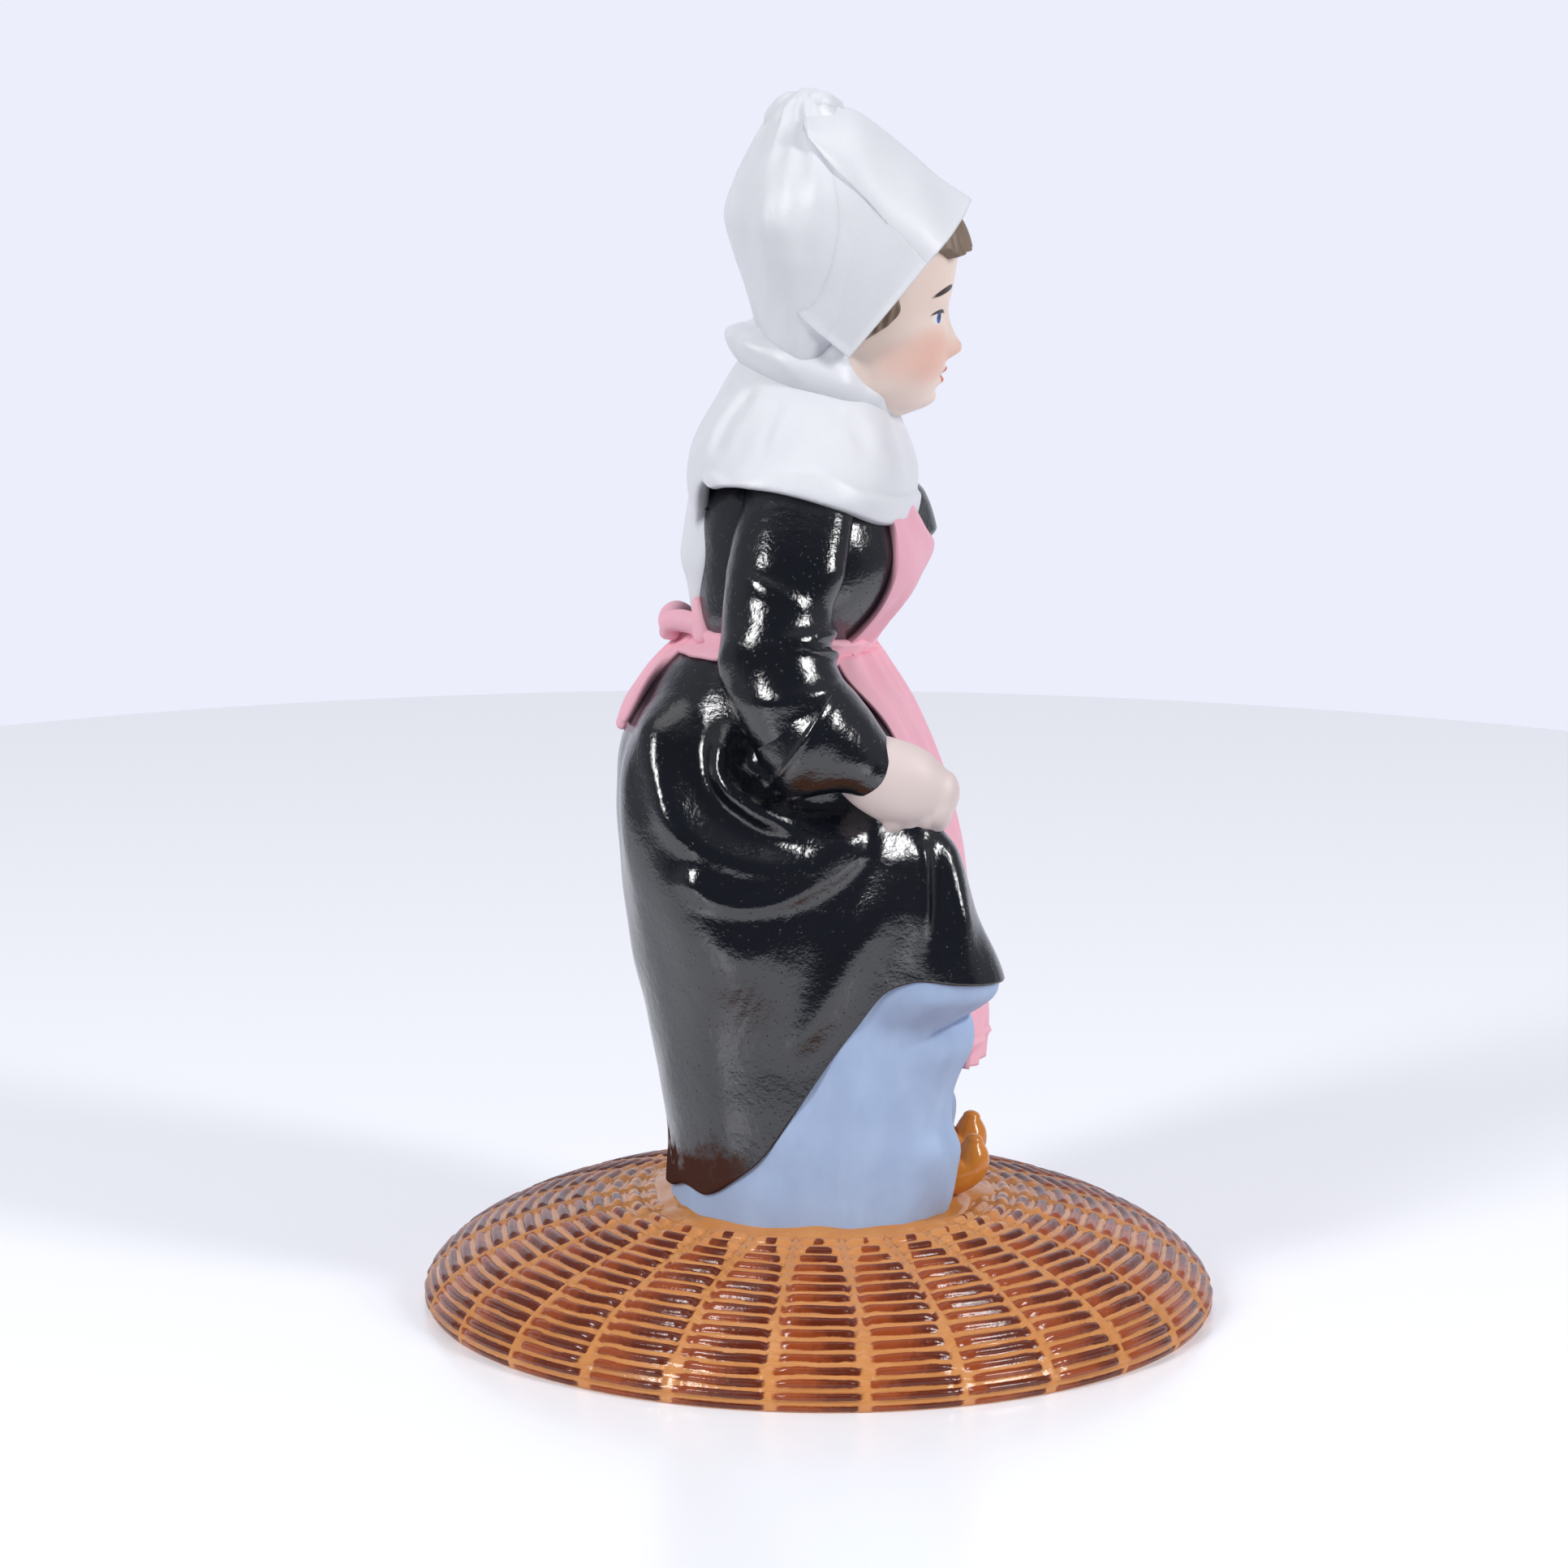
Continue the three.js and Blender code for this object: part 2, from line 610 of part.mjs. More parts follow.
function handForm(grow = 0) {
  const palmPath = [
    [2.4, 18.6, WAIST - 9.6],
    [5.6, 18.4, WAIST - 11.2],
    [9, 18, WAIST - 12.6],
    [12.4, 17.4, WAIST - 13],
  ];
  const girth = curve([[0, 3.4], [0.35, 4.2], [0.7, 4.5], [0.92, 3.2], [1, 2.0]]);
  const palm = tube(palmPath, { radius: girth, flatness: () => 0.72, sides: 10, rows: 6, grow });
  const knuckles = steps(0, 3, 3).map((i) => [12.6 - 1.95 * i, 17.8, WAIST - 13.6 - 0.35 * i]);
  const fingers = knuckles.map(([x, y, z], i) => {
    const bottom = z - 3.9 + 0.35 * (i % 2);
    const path = [[x, y, z], [x + 0.2, y + 0.5, z - 2], [x - 0.1, y - 0.1, bottom]];
    const taper = curve([[0, 1], [0.7, 0.95], [1, 0.55]]);
    return tube(path, { radius: (at) => FINGER_RADIUS * taper(at), sides: 6, rows: 3, grow });
  });
  const thumbPath = [[6.4, 15.8, WAIST - 13], [8.8, 14.6, WAIST - 15], [10.4, 14.6, WAIST - 16.6]];
  const thumb = tube(thumbPath, { radius: () => FINGER_RADIUS * 1.1, sides: 6, rows: 3, grow });
  return join(palm, thumb, ...fingers);
}

// Shawl

const shawlSections = sections([
  [0.5, -14.6, 9.2, 15.6],
  [0.58, -14.9, 9.8, 16.2],
  [0.68, -15.0, 9.9, 16.5],
  [0.8, -14.9, 9.4, 15.4],
  [0.91, -13.9, 8.4, 13.0],
  [1.02, -12.4, 7.2, 10.6],
  [1.12, -11.0, 5.8, 8.6],
  [1.18, -9.6, 4.6, 7.0],
]);

function shawlForm() {
  const cape = turned(
    loft(steps(0.5, 1.18, 7).map((at) => ring(WAIST + at * TORSO_LENGTH, shawlSections(at), 24, 2.3, 0))),
  );
  const hem = SHAWL_HEM;
  const outline = [[-FAR, hem], [-12, hem + 0.4], [-5, hem + 0.8], [0, hem], [4, hem - 1.6], [9, hem - 3.4]];
  const below = [...outline, [FAR, hem - 3.6], [FAR, -FAR], [-FAR, -FAR]].map(([x, z]) => [x, z + WAIST]);
  const trimmed = cape.subtract(sidePrism(below, -FAR, FAR));
  return trimmed.add(shawlTail());
}

// The shawl's back corner, a strip that narrows down to the bow.
function shawlTail() {
  const top = WAIST + SHAWL_HEM + 3;
  const bottom = WAIST + SHAWL_POINT;
  const bulge = curve([[0, 0.2], [0.25, 0.7], [0.42, 1.7], [0.6, 0.7], [1, 0.2]]);
  const rings = steps(0, 1, 6).map((at) => {
    const z = bottom + (top - bottom) * at;
    const section = bodiceSections((z - WAIST) / TORSO_LENGTH);
    const half = SHAWL_TAIL_HALF_WIDTH * (0.45 + 0.75 * at);
    return ring(z, { back: section.back - SEAM - bulge(at), front: section.back + 2, half }, 12, 2.6, 0);
  });
  return turned(loft(rings));
}

// Head and bonnet

// Heights above the collar with the head's back, front and half width; half is a share of the full width.
const headSections = sections([
  [-0.4, 2.0, 8.4, 0.2],
  [1.2, -1.5, 10.6, 0.62],
  [4, -4, 12.2, 0.88],
  [7.2, -5.6, 12.9, 0.97],
  [10.6, -6.4, 13.0, 1],
  [14.2, -6.8, 13.9, 1],
  [18, -6.8, 14.2, 0.97],
  [22, -5.2, 12.2, 0.82],
  [25, -2, 8, 0.5],
]);

function headLoft(grow) {
  const levels = steps(-0.4, 25, 9);
  return loft(
    levels.map((up, i) => {
      const lift = endLift(i, levels.length, grow);
      const section = headSections(up);
      section.half *= HEAD_HALF_WIDTH;
      return ring(COLLAR + up + lift, section, 20, 2.2, grow);
    }),
  );
}

function neckForm(grow = 0) {
  const path = [[-2.5, 0, COLLAR - 8.5], [-1, 0, COLLAR - 3], [1.5, 0, COLLAR + 5]];
  return tube(path, { radius: () => NECK_RADIUS, sides: 12, rows: 3, grow });
}

function headForm(grow = 0) {
  const nose = lump([13.2, 0, COLLAR + 8.4], [1.5, 1.2, 1.5], grow);
  return join(headLoft(grow), neckForm(grow), nose);
}

const bonnetSections = sections([
  [6, -7.0, 8.6, 10.2],
  [8, -7.4, 10, 10.5],
  [10.5, -8.0, 12, 10.9],
  [13.5, -8.9, 14, 11.3],
  [17.5, -10.3, 15.9, 11.6],
  [21, -11.1, 16.4, 11.6],
  [24.5, -10.0, 13.0, 11.0],
  [27.5, -8.6, 9.2, 9.4],
  [30, -7.0, 5.9, 7.0],
  [32, -4.4, 3.3, 4.0],
]);
const BRIM_TIP = [15.7, COLLAR + 21.4];
const WING_TIP = [2.4, COLLAR + 6.2];
const CREASE_TOP = [-0.9, COLLAR + 28.3];
const CREASE_END = [10.4, COLLAR + 17.1];

function bonnetForm(grow = 0) {
  const levels = steps(6, 32, 9);
  return loft(
    levels.map((up, i) => {
      const lift = endLift(i, levels.length, grow);
      return ring(COLLAR + up + lift, bonnetSections(up), 24, 2.3, grow);
    }),
  );
}

// In front of the slanted opening that frames the face.
function beforeOpening(shift) {
  return halfSpace(WING_TIP, BRIM_TIP, shift);
}

// Above and before the crease where the brim is folded back over the crown.
function aboveCrease(shift) {
  return halfSpace(CREASE_END, CREASE_TOP, shift);
}

function wingForm() {
  const shell = bonnetForm(SEAM + WING_THICKNESS).subtract(bonnetForm(SEAM));
  const outline = [CREASE_TOP, CREASE_END, WING_TIP, [-4.6, COLLAR + 9.6], [-6, COLLAR + 18]];
  return shell.intersect(sidePrism(outline.reverse(), 4, FAR));
}

function hairForm() {
  const shell = headLoft(SEAM + HAIR_THICKNESS).subtract(headLoft(SEAM));
  const low = COLLAR + 7.5;
  const above = sidePrism([[-FAR, low], [FAR, low], [FAR, low + FAR], [-FAR, low + FAR]], -FAR, FAR);
  return shell.intersect(above).subtract(beforeOpening(1.8)).subtract(behindHair());
}

function behindHair() {
  return halfSpace(BRIM_TIP, WING_TIP, 4.5);
}

// The bonnet's knot, and the curtain of cloth that hangs round the neck behind.
function knotForm(grow = 0) {
  const top = COLLAR + 31.4;
  const main = lump([-2.6, 0, top], [KNOT_RADIUS, KNOT_RADIUS * 0.9, KNOT_RADIUS * 0.95], grow);
  const tuckRadii = [0.5, 0.55, 0.6].map((share) => share * KNOT_RADIUS);
  const tuck = lump([-0.6, -1.6, top + 0.8], tuckRadii, grow);
  return join(main, tuck);
}

const CURTAIN_SLOPE = -0.365; // the curtain's roll falls towards the chin

function curtainForm(grow = 0) {
  const roll = [
    [-2.6, -8.4, 5.0, 7.2],
    [-1.4, -10.3, 6.4, 8.7],
    [0, -10.8, 6.8, 9.1],
    [1.4, -9.9, 6.2, 8.6],
    [3.4, -7.6, 4.8, 7.6],
  ];
  const rings = roll.map(([up, back, front, half], i) => {
    const lift = endLift(i, roll.length, grow);
    const flat = ring(COLLAR + 5.2 + up + lift, { back, front, half }, 20, 2.1, grow);
    return flat.map((p) => p.setZ(p.z + CURTAIN_SLOPE * (p.x + 3)));
  });
  return loft(rings);
}

// Assembly: each section is cut clear of those set before it

const figure = new THREE.Group();

function addSection(name, solid, material) {
  const { vertProperties, triVerts } = solid.getMesh();
  const geometry = new THREE.BufferGeometry();
  geometry.setAttribute("position", new THREE.BufferAttribute(vertProperties, 3));
  geometry.setIndex(new THREE.BufferAttribute(triVerts, 1));
  geometry.computeVertexNormals();
  const mesh = new THREE.Mesh(geometry, material);
  mesh.name = name;
  figure.add(mesh);
  return solid;
}

const sideNames = [
  [RIGHT, "right"],
  [LEFT, "left"],
];

addSection("wicker_base", wickerBase(), caneBrown);
addSection("ground_mound", cut(mound(), plainDome(SEAM)), clogOrange);

const ground = mound(SEAM);
const clogs = join(clogForm(SEAM), mirrored(clogForm(SEAM)));
const stockings = join(stockingForm(SEAM), mirrored(stockingForm(SEAM)));
const petticoatSpace = petticoatForm(SEAM);
const handSpace = join(handForm(SEAM), mirrored(handForm(SEAM)));
const cuffSpace = join(cuffForm(SEAM), mirrored(cuffForm(SEAM)));
const sleeveSpace = join(sleeveForm(SEAM), mirrored(sleeveForm(SEAM)));
const bodiceSpace = bodiceForm(SEAM);

for (const [side, word] of sideNames) {
  addSection(`clog_${word}`, cut(onSide(side, clogForm()), ground, stockings), clogOrange);
}

const petticoat = cut(petticoatForm(0), ground, legRecess(), clogs, stockings);
addSection("petticoat", petticoat, softBlue);
for (const [side, word] of sideNames) {
  addSection(`stocking_${word}`, cut(onSide(side, stockingForm()), ground), bisqueWhite);
}

const sideHems = join(belowSideHem(), mirrored(belowSideHem()));
const overskirt = cut(
  overskirtForm(),
  petticoatSpace,
  ground,
  sideHems,
  belowFrontHem(),
  handSpace,
  cuffSpace,
  sleeveSpace,
);
addSection("overskirt", overskirt, glazedBlack);

const apronSheet = apronForm(SEAM + APRON_THICKNESS).subtract(overskirtBody(SEAM));
const apron = cut(apronSheet.intersect(apronRegion()), handSpace, cuffSpace);
addSection("apron_panel", apron, apronPink);

addSection("bodice", cut(bodiceForm(), neckForm(SEAM)), glazedBlack);
const band = cut(waistbandForm(), bodiceSpace, overskirtBody(SEAM), cuffSpace, sleeveSpace);
addSection("apron_waistband", band, apronPink);
const bibSheet = bodiceForm(SEAM + BIB_THICKNESS).subtract(bodiceSpace).intersect(bibRegion());
const bibSpace = bodiceForm(2 * SEAM + BIB_THICKNESS).intersect(bibRegion(SEAM));
const bandSpace = waistbandForm(SEAM);
addSection("apron_bib", cut(bibSheet, bandSpace), apronPink);
addSection("apron_bow", cut(bowForm(), bandSpace, bodiceSpace, overskirtBody(SEAM)), apronPink);

for (const [side, word] of sideNames) {
  const tail = cut(tailForm(side), bowForm(SEAM), overskirtBody(SEAM), bandSpace);
  addSection(`apron_tail_${word}`, tail, apronPink);
}

for (const [side, word] of sideNames) {
  addSection(`hand_${word}`, onSide(side, handForm()), bisqueSkin);
  addSection(`cuff_${word}`, cut(onSide(side, cuffForm()), handSpace), glazedBlack);
  const sleeve = cut(onSide(side, sleeveForm()), cuffSpace, bodiceSpace, handSpace);
  addSection(`sleeve_${word}`, sleeve, glazedBlack);
}

addSection("head", headForm(), bisqueSkin);
const headSpace = headLoft(SEAM * 2 + HAIR_THICKNESS).add(headForm(SEAM));
const curtainSpace = curtainForm(SEAM);
const bonnet = cut(bonnetForm(), headSpace, beforeOpening(0), knotForm(SEAM));
const creaseSpace = SEAM / 2;
addSection("bonnet_crown", cut(bonnet, aboveCrease(-creaseSpace)), bisqueWhite);
addSection("bonnet_brim", cut(bonnet.intersect(aboveCrease(creaseSpace))), bisqueWhite);
addSection("bonnet_knot", knotForm(), bisqueWhite);
for (const [side, word] of sideNames) {
  addSection(`bonnet_wing_${word}`, cut(onSide(side, wingForm()), knotForm(SEAM), headSpace), bisqueWhite);
}
addSection("hair", cut(hairForm()), hairBrown);
const wings = join(wingForm(), mirrored(wingForm()));
const curtain = cut(curtainForm(), headForm(SEAM), headSpace, bonnetForm(SEAM), wings);
addSection("bonnet_curtain", curtain, bisqueWhite);
const underShawl = [bodiceSpace, sleeveSpace, neckForm(SEAM), headForm(SEAM), curtainSpace, bibSpace];
const shawl = cut(shawlForm(), ...underShawl);
addSection("shawl", shawl, bisqueWhite);

figure.position.z = BASE_RISE;
const figurine = new THREE.Group();
figurine.add(figure);

export default figurine;
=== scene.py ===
# %% [markdown]
# # A ceramic figurine, dressed over its CAD frame
# The real object is a small cast figure of a girl who lifts her skirt, on a dome that is moulded and
# painted as basket work. Everything below is built in the frame's own place: metres, +Z up, +X the way she
# faces, and the camera looks along +Y. The sizes are written in millimetres, as a modeller would measure
# them on the piece.

# %% Load the frame
import math

import bmesh
import bpy
import numpy as np
from mathutils import Matrix, Vector


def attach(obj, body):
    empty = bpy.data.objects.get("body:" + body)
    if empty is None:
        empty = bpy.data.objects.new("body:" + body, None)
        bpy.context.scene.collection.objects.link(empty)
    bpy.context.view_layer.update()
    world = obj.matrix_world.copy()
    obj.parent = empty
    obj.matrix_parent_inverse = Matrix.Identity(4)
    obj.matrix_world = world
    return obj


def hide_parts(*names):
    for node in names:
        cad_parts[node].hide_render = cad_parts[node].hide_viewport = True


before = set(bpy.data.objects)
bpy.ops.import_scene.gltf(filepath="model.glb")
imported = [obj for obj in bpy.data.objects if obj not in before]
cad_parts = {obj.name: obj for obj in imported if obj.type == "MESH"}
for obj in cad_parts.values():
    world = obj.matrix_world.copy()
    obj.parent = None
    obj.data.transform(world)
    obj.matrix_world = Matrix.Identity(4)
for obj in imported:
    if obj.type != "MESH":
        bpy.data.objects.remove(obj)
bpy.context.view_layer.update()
MM = 0.001
scene = bpy.context.scene
scene.view_settings.view_transform = "Standard"
print("frame nodes:", len(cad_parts))

# %% [markdown]
# ## The camera
# The rim of the base is a circle, so the ellipse that it makes in the picture gives the height of the lens
# and the distance. A long lens stands a little over half a metre away and looks down by about eleven
# degrees.

# %% Place the camera
CAMERA_PLACE = (0.0, -575.938, 168.212)
CAMERA_PITCH = math.radians(10.8237)
CAMERA_YAW = math.radians(-0.42349)
CAMERA_ROLL = math.radians(0.40661)
LENS = 122.576

ahead = Vector((
    math.sin(CAMERA_YAW) * math.cos(CAMERA_PITCH),
    math.cos(CAMERA_YAW) * math.cos(CAMERA_PITCH),
    -math.sin(CAMERA_PITCH),
))
level_right = ahead.cross(Vector((0, 0, 1))).normalized()
level_up = level_right.cross(ahead)
right = level_right * math.cos(CAMERA_ROLL) + level_up * math.sin(CAMERA_ROLL)
up = level_up * math.cos(CAMERA_ROLL) - level_right * math.sin(CAMERA_ROLL)
camera = bpy.data.objects.new("camera", bpy.data.cameras.new("camera"))
scene.collection.objects.link(camera)
turn = Matrix((right, up, -ahead)).transposed().to_4x4()
camera.matrix_world = Matrix.Translation(Vector(CAMERA_PLACE) * MM) @ turn
camera.data.lens = LENS
camera.data.clip_start = 0.01
scene.camera = camera
print("camera at", tuple(round(v, 3) for v in camera.location))

# %% [markdown]
# ## The table and the light
# A small round white table carries the figure, and a pale sweep stands behind it. The side of the room
# behind the lens is dim: glossy black glaze shows whatever it faces, so a dim room keeps it black and the
# table's edge draws the crisp grey shapes low on the skirt. Three soft boxes give the highlights.

# %% Small helpers for node trees
def feed(tree, socket, value):
    """Links a socket to another one, or sets it to a plain value."""
    if isinstance(value, bpy.types.NodeSocket):
        tree.links.new(value, socket)
    else:
        socket.default_value = value


def node(tree, kind, inputs=None, **settings):
    """Adds a node with its settings and its inputs."""
    made = tree.nodes.new(kind)
    for name, value in settings.items():
        setattr(made, name, value)
    for name, value in (inputs or {}).items():
        feed(tree, made.inputs[name], value)
    return made


def calc(tree, operation, *values):
    """One math node; returns its output."""
    made = node(tree, "ShaderNodeMath", operation=operation)
    for socket, value in zip(made.inputs, values):
        feed(tree, socket, value)
    return made.outputs[0]


def times(tree, first, second):
    return calc(tree, "MULTIPLY", first, second)


def plus(tree, first, second):
    return calc(tree, "ADD", first, second)


def minus(tree, first, second):
    return calc(tree, "SUBTRACT", first, second)


def ramp(tree, value, low, high, smooth=True):
    """0 where value is at low, 1 where it is at high, and an even change between."""
    kind = "SMOOTHSTEP" if smooth else "LINEAR"
    made = node(tree, "ShaderNodeMapRange", {"Value": value}, interpolation_type=kind)
    start, end, flip = (low, high, False) if low < high else (high, low, True)
    made.inputs["From Min"].default_value = start
    made.inputs["From Max"].default_value = end
    made.inputs["To Min"].default_value = 1.0 if flip else 0.0
    made.inputs["To Max"].default_value = 0.0 if flip else 1.0
    return made.outputs["Result"]


def blend(tree, factor, first, second):
    """A colour that goes from first to second with factor."""
    made = node(tree, "ShaderNodeMix", data_type="RGBA")
    for socket, value in zip((made.inputs[0], made.inputs[6], made.inputs[7]), (factor, first, second)):
        feed(tree, socket, value)
    return made.outputs[2]


def shade(red, green, blue):
    """A colour as it looks on a screen, 0 to 255, as the renderer's linear light."""
    def linear(level):
        share = level / 255
        return share / 12.92 if share <= 0.04045 else ((share + 0.055) / 1.055) ** 2.4
    return (linear(red), linear(green), linear(blue), 1.0)

# %% Set the table and the room
TABLE_RADIUS = 261
TABLE_CENTRE = (0, 136)
TABLE_THICKNESS = 12
TABLE_TOP = -0.1
PALE_ROOM = shade(236, 238, 252)
SIDE_ROOM = shade(140, 142, 148)
DIM_ROOM = shade(80, 83, 92)


def round_table():
    shape = bmesh.new()
    middle = Vector((*TABLE_CENTRE, TABLE_TOP - TABLE_THICKNESS / 2))
    bmesh.ops.create_cone(
        shape, cap_ends=True, segments=256, radius1=TABLE_RADIUS * MM, radius2=TABLE_RADIUS * MM,
        depth=TABLE_THICKNESS * MM, matrix=Matrix.Translation(middle * MM),
    )
    mesh = bpy.data.meshes.new("table")
    shape.to_mesh(mesh)
    shape.free()
    table = bpy.data.objects.new("table", mesh)
    scene.collection.objects.link(table)
    material = bpy.data.materials.new("table_white")
    material.use_nodes = True
    skin = material.node_tree.nodes["Principled BSDF"]
    skin.inputs["Base Color"].default_value = shade(238, 239, 244)
    skin.inputs["Roughness"].default_value = 0.22
    skin.inputs["Specular IOR Level"].default_value = 0.35
    skin.inputs["Emission Color"].default_value = shade(250, 250, 255)
    skin.inputs["Emission Strength"].default_value = 0.17
    mesh.materials.append(material)


def light_room():
    world = bpy.data.worlds.new("room")
    scene.world = world
    world.use_nodes = True
    tree = world.node_tree
    way = node(tree, "ShaderNodeTexCoord").outputs["Generated"]
    part = node(tree, "ShaderNodeSeparateXYZ", {"Vector": way})
    behind_figure = ramp(tree, part.outputs["Y"], 0.45, 0.9)
    behind_lens = ramp(tree, part.outputs["Y"], -0.15, -0.65)
    walls = blend(tree, behind_figure, SIDE_ROOM, PALE_ROOM)
    colour = blend(tree, behind_lens, walls, DIM_ROOM)
    background = tree.nodes["Background"]
    tree.links.new(colour, background.inputs["Color"])
    background.inputs["Strength"].default_value = 1.0


def soft_box(name, place, target, size, power):
    lamp = bpy.data.lights.new(name, "AREA")
    lamp.shape = "RECTANGLE"
    lamp.size = size[0] * MM
    lamp.size_y = size[1] * MM
    lamp.energy = power
    box = bpy.data.objects.new(name, lamp)
    scene.collection.objects.link(box)
    box.location = Vector(place) * MM
    box.rotation_euler = (Vector(target) - Vector(place)).to_track_quat("-Z", "Y").to_euler()


round_table()
light_room()
soft_box("soft_box_left", (-420, -430, 420), (0, 0, 70), (110, 330), 3.0)
soft_box("soft_box_right", (520, -330, 380), (0, 0, 60), (110, 300), 2.8)
soft_box("soft_box_top", (-60, 40, 720), (0, 0, 60), (420, 420), 0.5)
print("table, room and soft boxes set")

# %% [markdown]
# ## Drawing smooth forms
# Clay has no straight lines, so nearly every form here is a set of sections that flow into each other. A
# section is a rounded square, given by how far it reaches back, forward and sideways. Cloth folds are then
# raised along curves that are drawn in the side view, as a modeller draws them with a tool.

# %% Curves, sections and grids
def flow(pairs):
    """A smooth curve through (position, value) pairs, for numbers or arrays."""
    at = np.array([pair[0] for pair in pairs], float)
    value = np.array([pair[1] for pair in pairs], float)
    slope = np.gradient(value, at)

    def read(position):
        x = np.clip(position, at[0], at[-1])
        i = np.clip(np.searchsorted(at, x) - 1, 0, len(at) - 2)
        span = at[i + 1] - at[i]
        t = (x - at[i]) / span
        start = (1 + 2 * t) * (1 - t) ** 2 * value[i] + t * (1 - t) ** 2 * span * slope[i]
        end = t * t * (3 - 2 * t) * value[i + 1] + t * t * (t - 1) * span * slope[i + 1]
        return start + end

    return read


def step(value, low, high):
    """0 below low, 1 above high, smooth between; low may be the larger."""
    t = np.clip((value - low) / (high - low), 0, 1)
    return t * t * (3 - 2 * t)


def bell(distance, width):
    return np.exp(-((distance / width) ** 2))


def between(first, second, share):
    return first + (second - first) * share


def full_turn(count):
    """Even angles all the way round."""
    return np.linspace(-np.pi, np.pi, count, endpoint=False)


def turn_and_height(count, rows, low, high):
    """Angles round a form and heights on it, for a grid of points."""
    z = np.linspace(low, high, rows)[:, None] * np.ones(count)
    return np.broadcast_to(full_turn(count), z.shape), z


def around(centre, reach, angle, z):
    """Points at a distance and an angle from an upright centre line."""
    return np.stack([centre + reach * np.cos(angle), reach * np.sin(angle), z + 0 * angle], axis=-1)


def outwards(angle):
    """Level directions away from the centre line."""
    return np.stack([np.cos(angle), np.sin(angle), 0 * angle], axis=-1)


def turned_from(angle, start):
    """The shorter way round from one angle to another."""
    return np.angle(np.exp(1j * (angle - start)))


class Sections:
    """Sections along a height: rows of (height, back, front, half width)."""

    def __init__(self, rows, square):
        self.back = flow([(r[0], r[1]) for r in rows])
        self.front = flow([(r[0], r[2]) for r in rows])
        self.half = flow([(r[0], r[3]) for r in rows])
        self.square = square

    def centre(self, z):
        return (self.back(z) + self.front(z)) / 2

    def reach(self, angle, z):
        """Distance from the centre line to the surface, at a true angle round it."""
        length = (self.front(z) - self.back(z)) / 2
        power = self.square
        across = np.abs(np.cos(angle) / length) ** power + np.abs(np.sin(angle) / self.half(z)) ** power
        return across ** (-1 / power)

    def points(self, angle, z, out=0.0):
        return around(self.centre(z), self.reach(angle, z) + out, angle, z)


def spline(points, count):
    """Evenly spread points on a smooth line through a few."""
    points = np.array(points, float)
    stretch = np.concatenate([[0], np.cumsum(np.linalg.norm(np.diff(points, axis=0), axis=1))])
    spread = np.linspace(0, stretch[-1], count)
    columns = [flow(list(zip(stretch, points[:, k])))(spread) for k in range(points.shape[1])]
    return np.stack(columns, axis=-1)


def side_distance(x, z, way):
    """Distances of side-view points from a line, positive to its left, and shares of the way along it."""
    line = spline(way, 48)
    flat = np.stack([x.ravel(), z.ravel()], axis=-1)
    best = np.full(len(flat), 1e9)
    sign = np.ones(len(flat))
    share = np.zeros(len(flat))
    for index, (start, end) in enumerate(zip(line[:-1], line[1:])):
        along = end - start
        t = np.clip(((flat - start) @ along) / (along @ along), 0, 1)
        gap = flat - start - t[:, None] * along
        far = np.hypot(gap[:, 0], gap[:, 1])
        nearer = far < best
        best = np.where(nearer, far, best)
        side = along[0] * gap[:, 1] - along[1] * gap[:, 0]
        sign = np.where(nearer, np.sign(side), sign)
        share = np.where(nearer, (index + t) / (len(line) - 1), share)
    return (best * np.where(sign == 0, 1, sign)).reshape(x.shape), share.reshape(x.shape)


def unevenness(points, size, seed=0):
    """Gentle lumps of the given size in mm, between about -1 and 1."""
    draw = np.random.default_rng(seed)
    total = np.zeros(points.shape[:-1])
    for _ in range(7):
        direction = draw.normal(size=3)
        direction /= np.linalg.norm(direction)
        wave = 2 * np.pi / (size * draw.uniform(0.7, 1.6))
        total += np.sin(points @ direction * wave + draw.uniform(0, 6.28))
    return total / 4

# %% Meshes from grids
def grid_faces(rows, cols, round_columns, first=0):
    """Faces of a grid of points, row by row; the columns may close into a ring."""
    last = cols if round_columns else cols - 1
    row, col = np.meshgrid(np.arange(rows - 1), np.arange(last), indexing="ij")
    beside = (col + 1) % cols
    corners = [row * cols + col, row * cols + beside, (row + 1) * cols + beside, (row + 1) * cols + col]
    return (np.stack(corners, axis=-1).reshape(-1, 4) + first).tolist()


def piece_from(name, points, faces):
    """An object from points in mm, shaded smooth, with its faces turned outwards."""
    mesh = bpy.data.meshes.new(name)
    mesh.from_pydata((np.asarray(points, float) * MM).tolist(), [], faces)
    shape = bmesh.new()
    shape.from_mesh(mesh)
    bmesh.ops.remove_doubles(shape, verts=shape.verts, dist=1e-6)
    bmesh.ops.recalc_face_normals(shape, faces=shape.faces)
    shape.to_mesh(mesh)
    shape.free()
    mesh.shade_smooth()
    made = bpy.data.objects.new(name, mesh)
    scene.collection.objects.link(made)
    return made


def closed_loft(name, grid):
    """A closed piece from rings of points (rows, columns, 3), with a flat lid at each end."""
    rows, cols = grid.shape[:2]
    faces = grid_faces(rows, cols, True)
    points = np.concatenate([grid.reshape(-1, 3), grid[0].mean(axis=0)[None], grid[-1].mean(axis=0)[None]])
    start, end = rows * cols, rows * cols + 1
    for col in range(cols):
        beside = (col + 1) % cols
        faces.append([start, beside, col])
        faces.append([end, (rows - 1) * cols + col, (rows - 1) * cols + beside])
    return piece_from(name, points, faces)


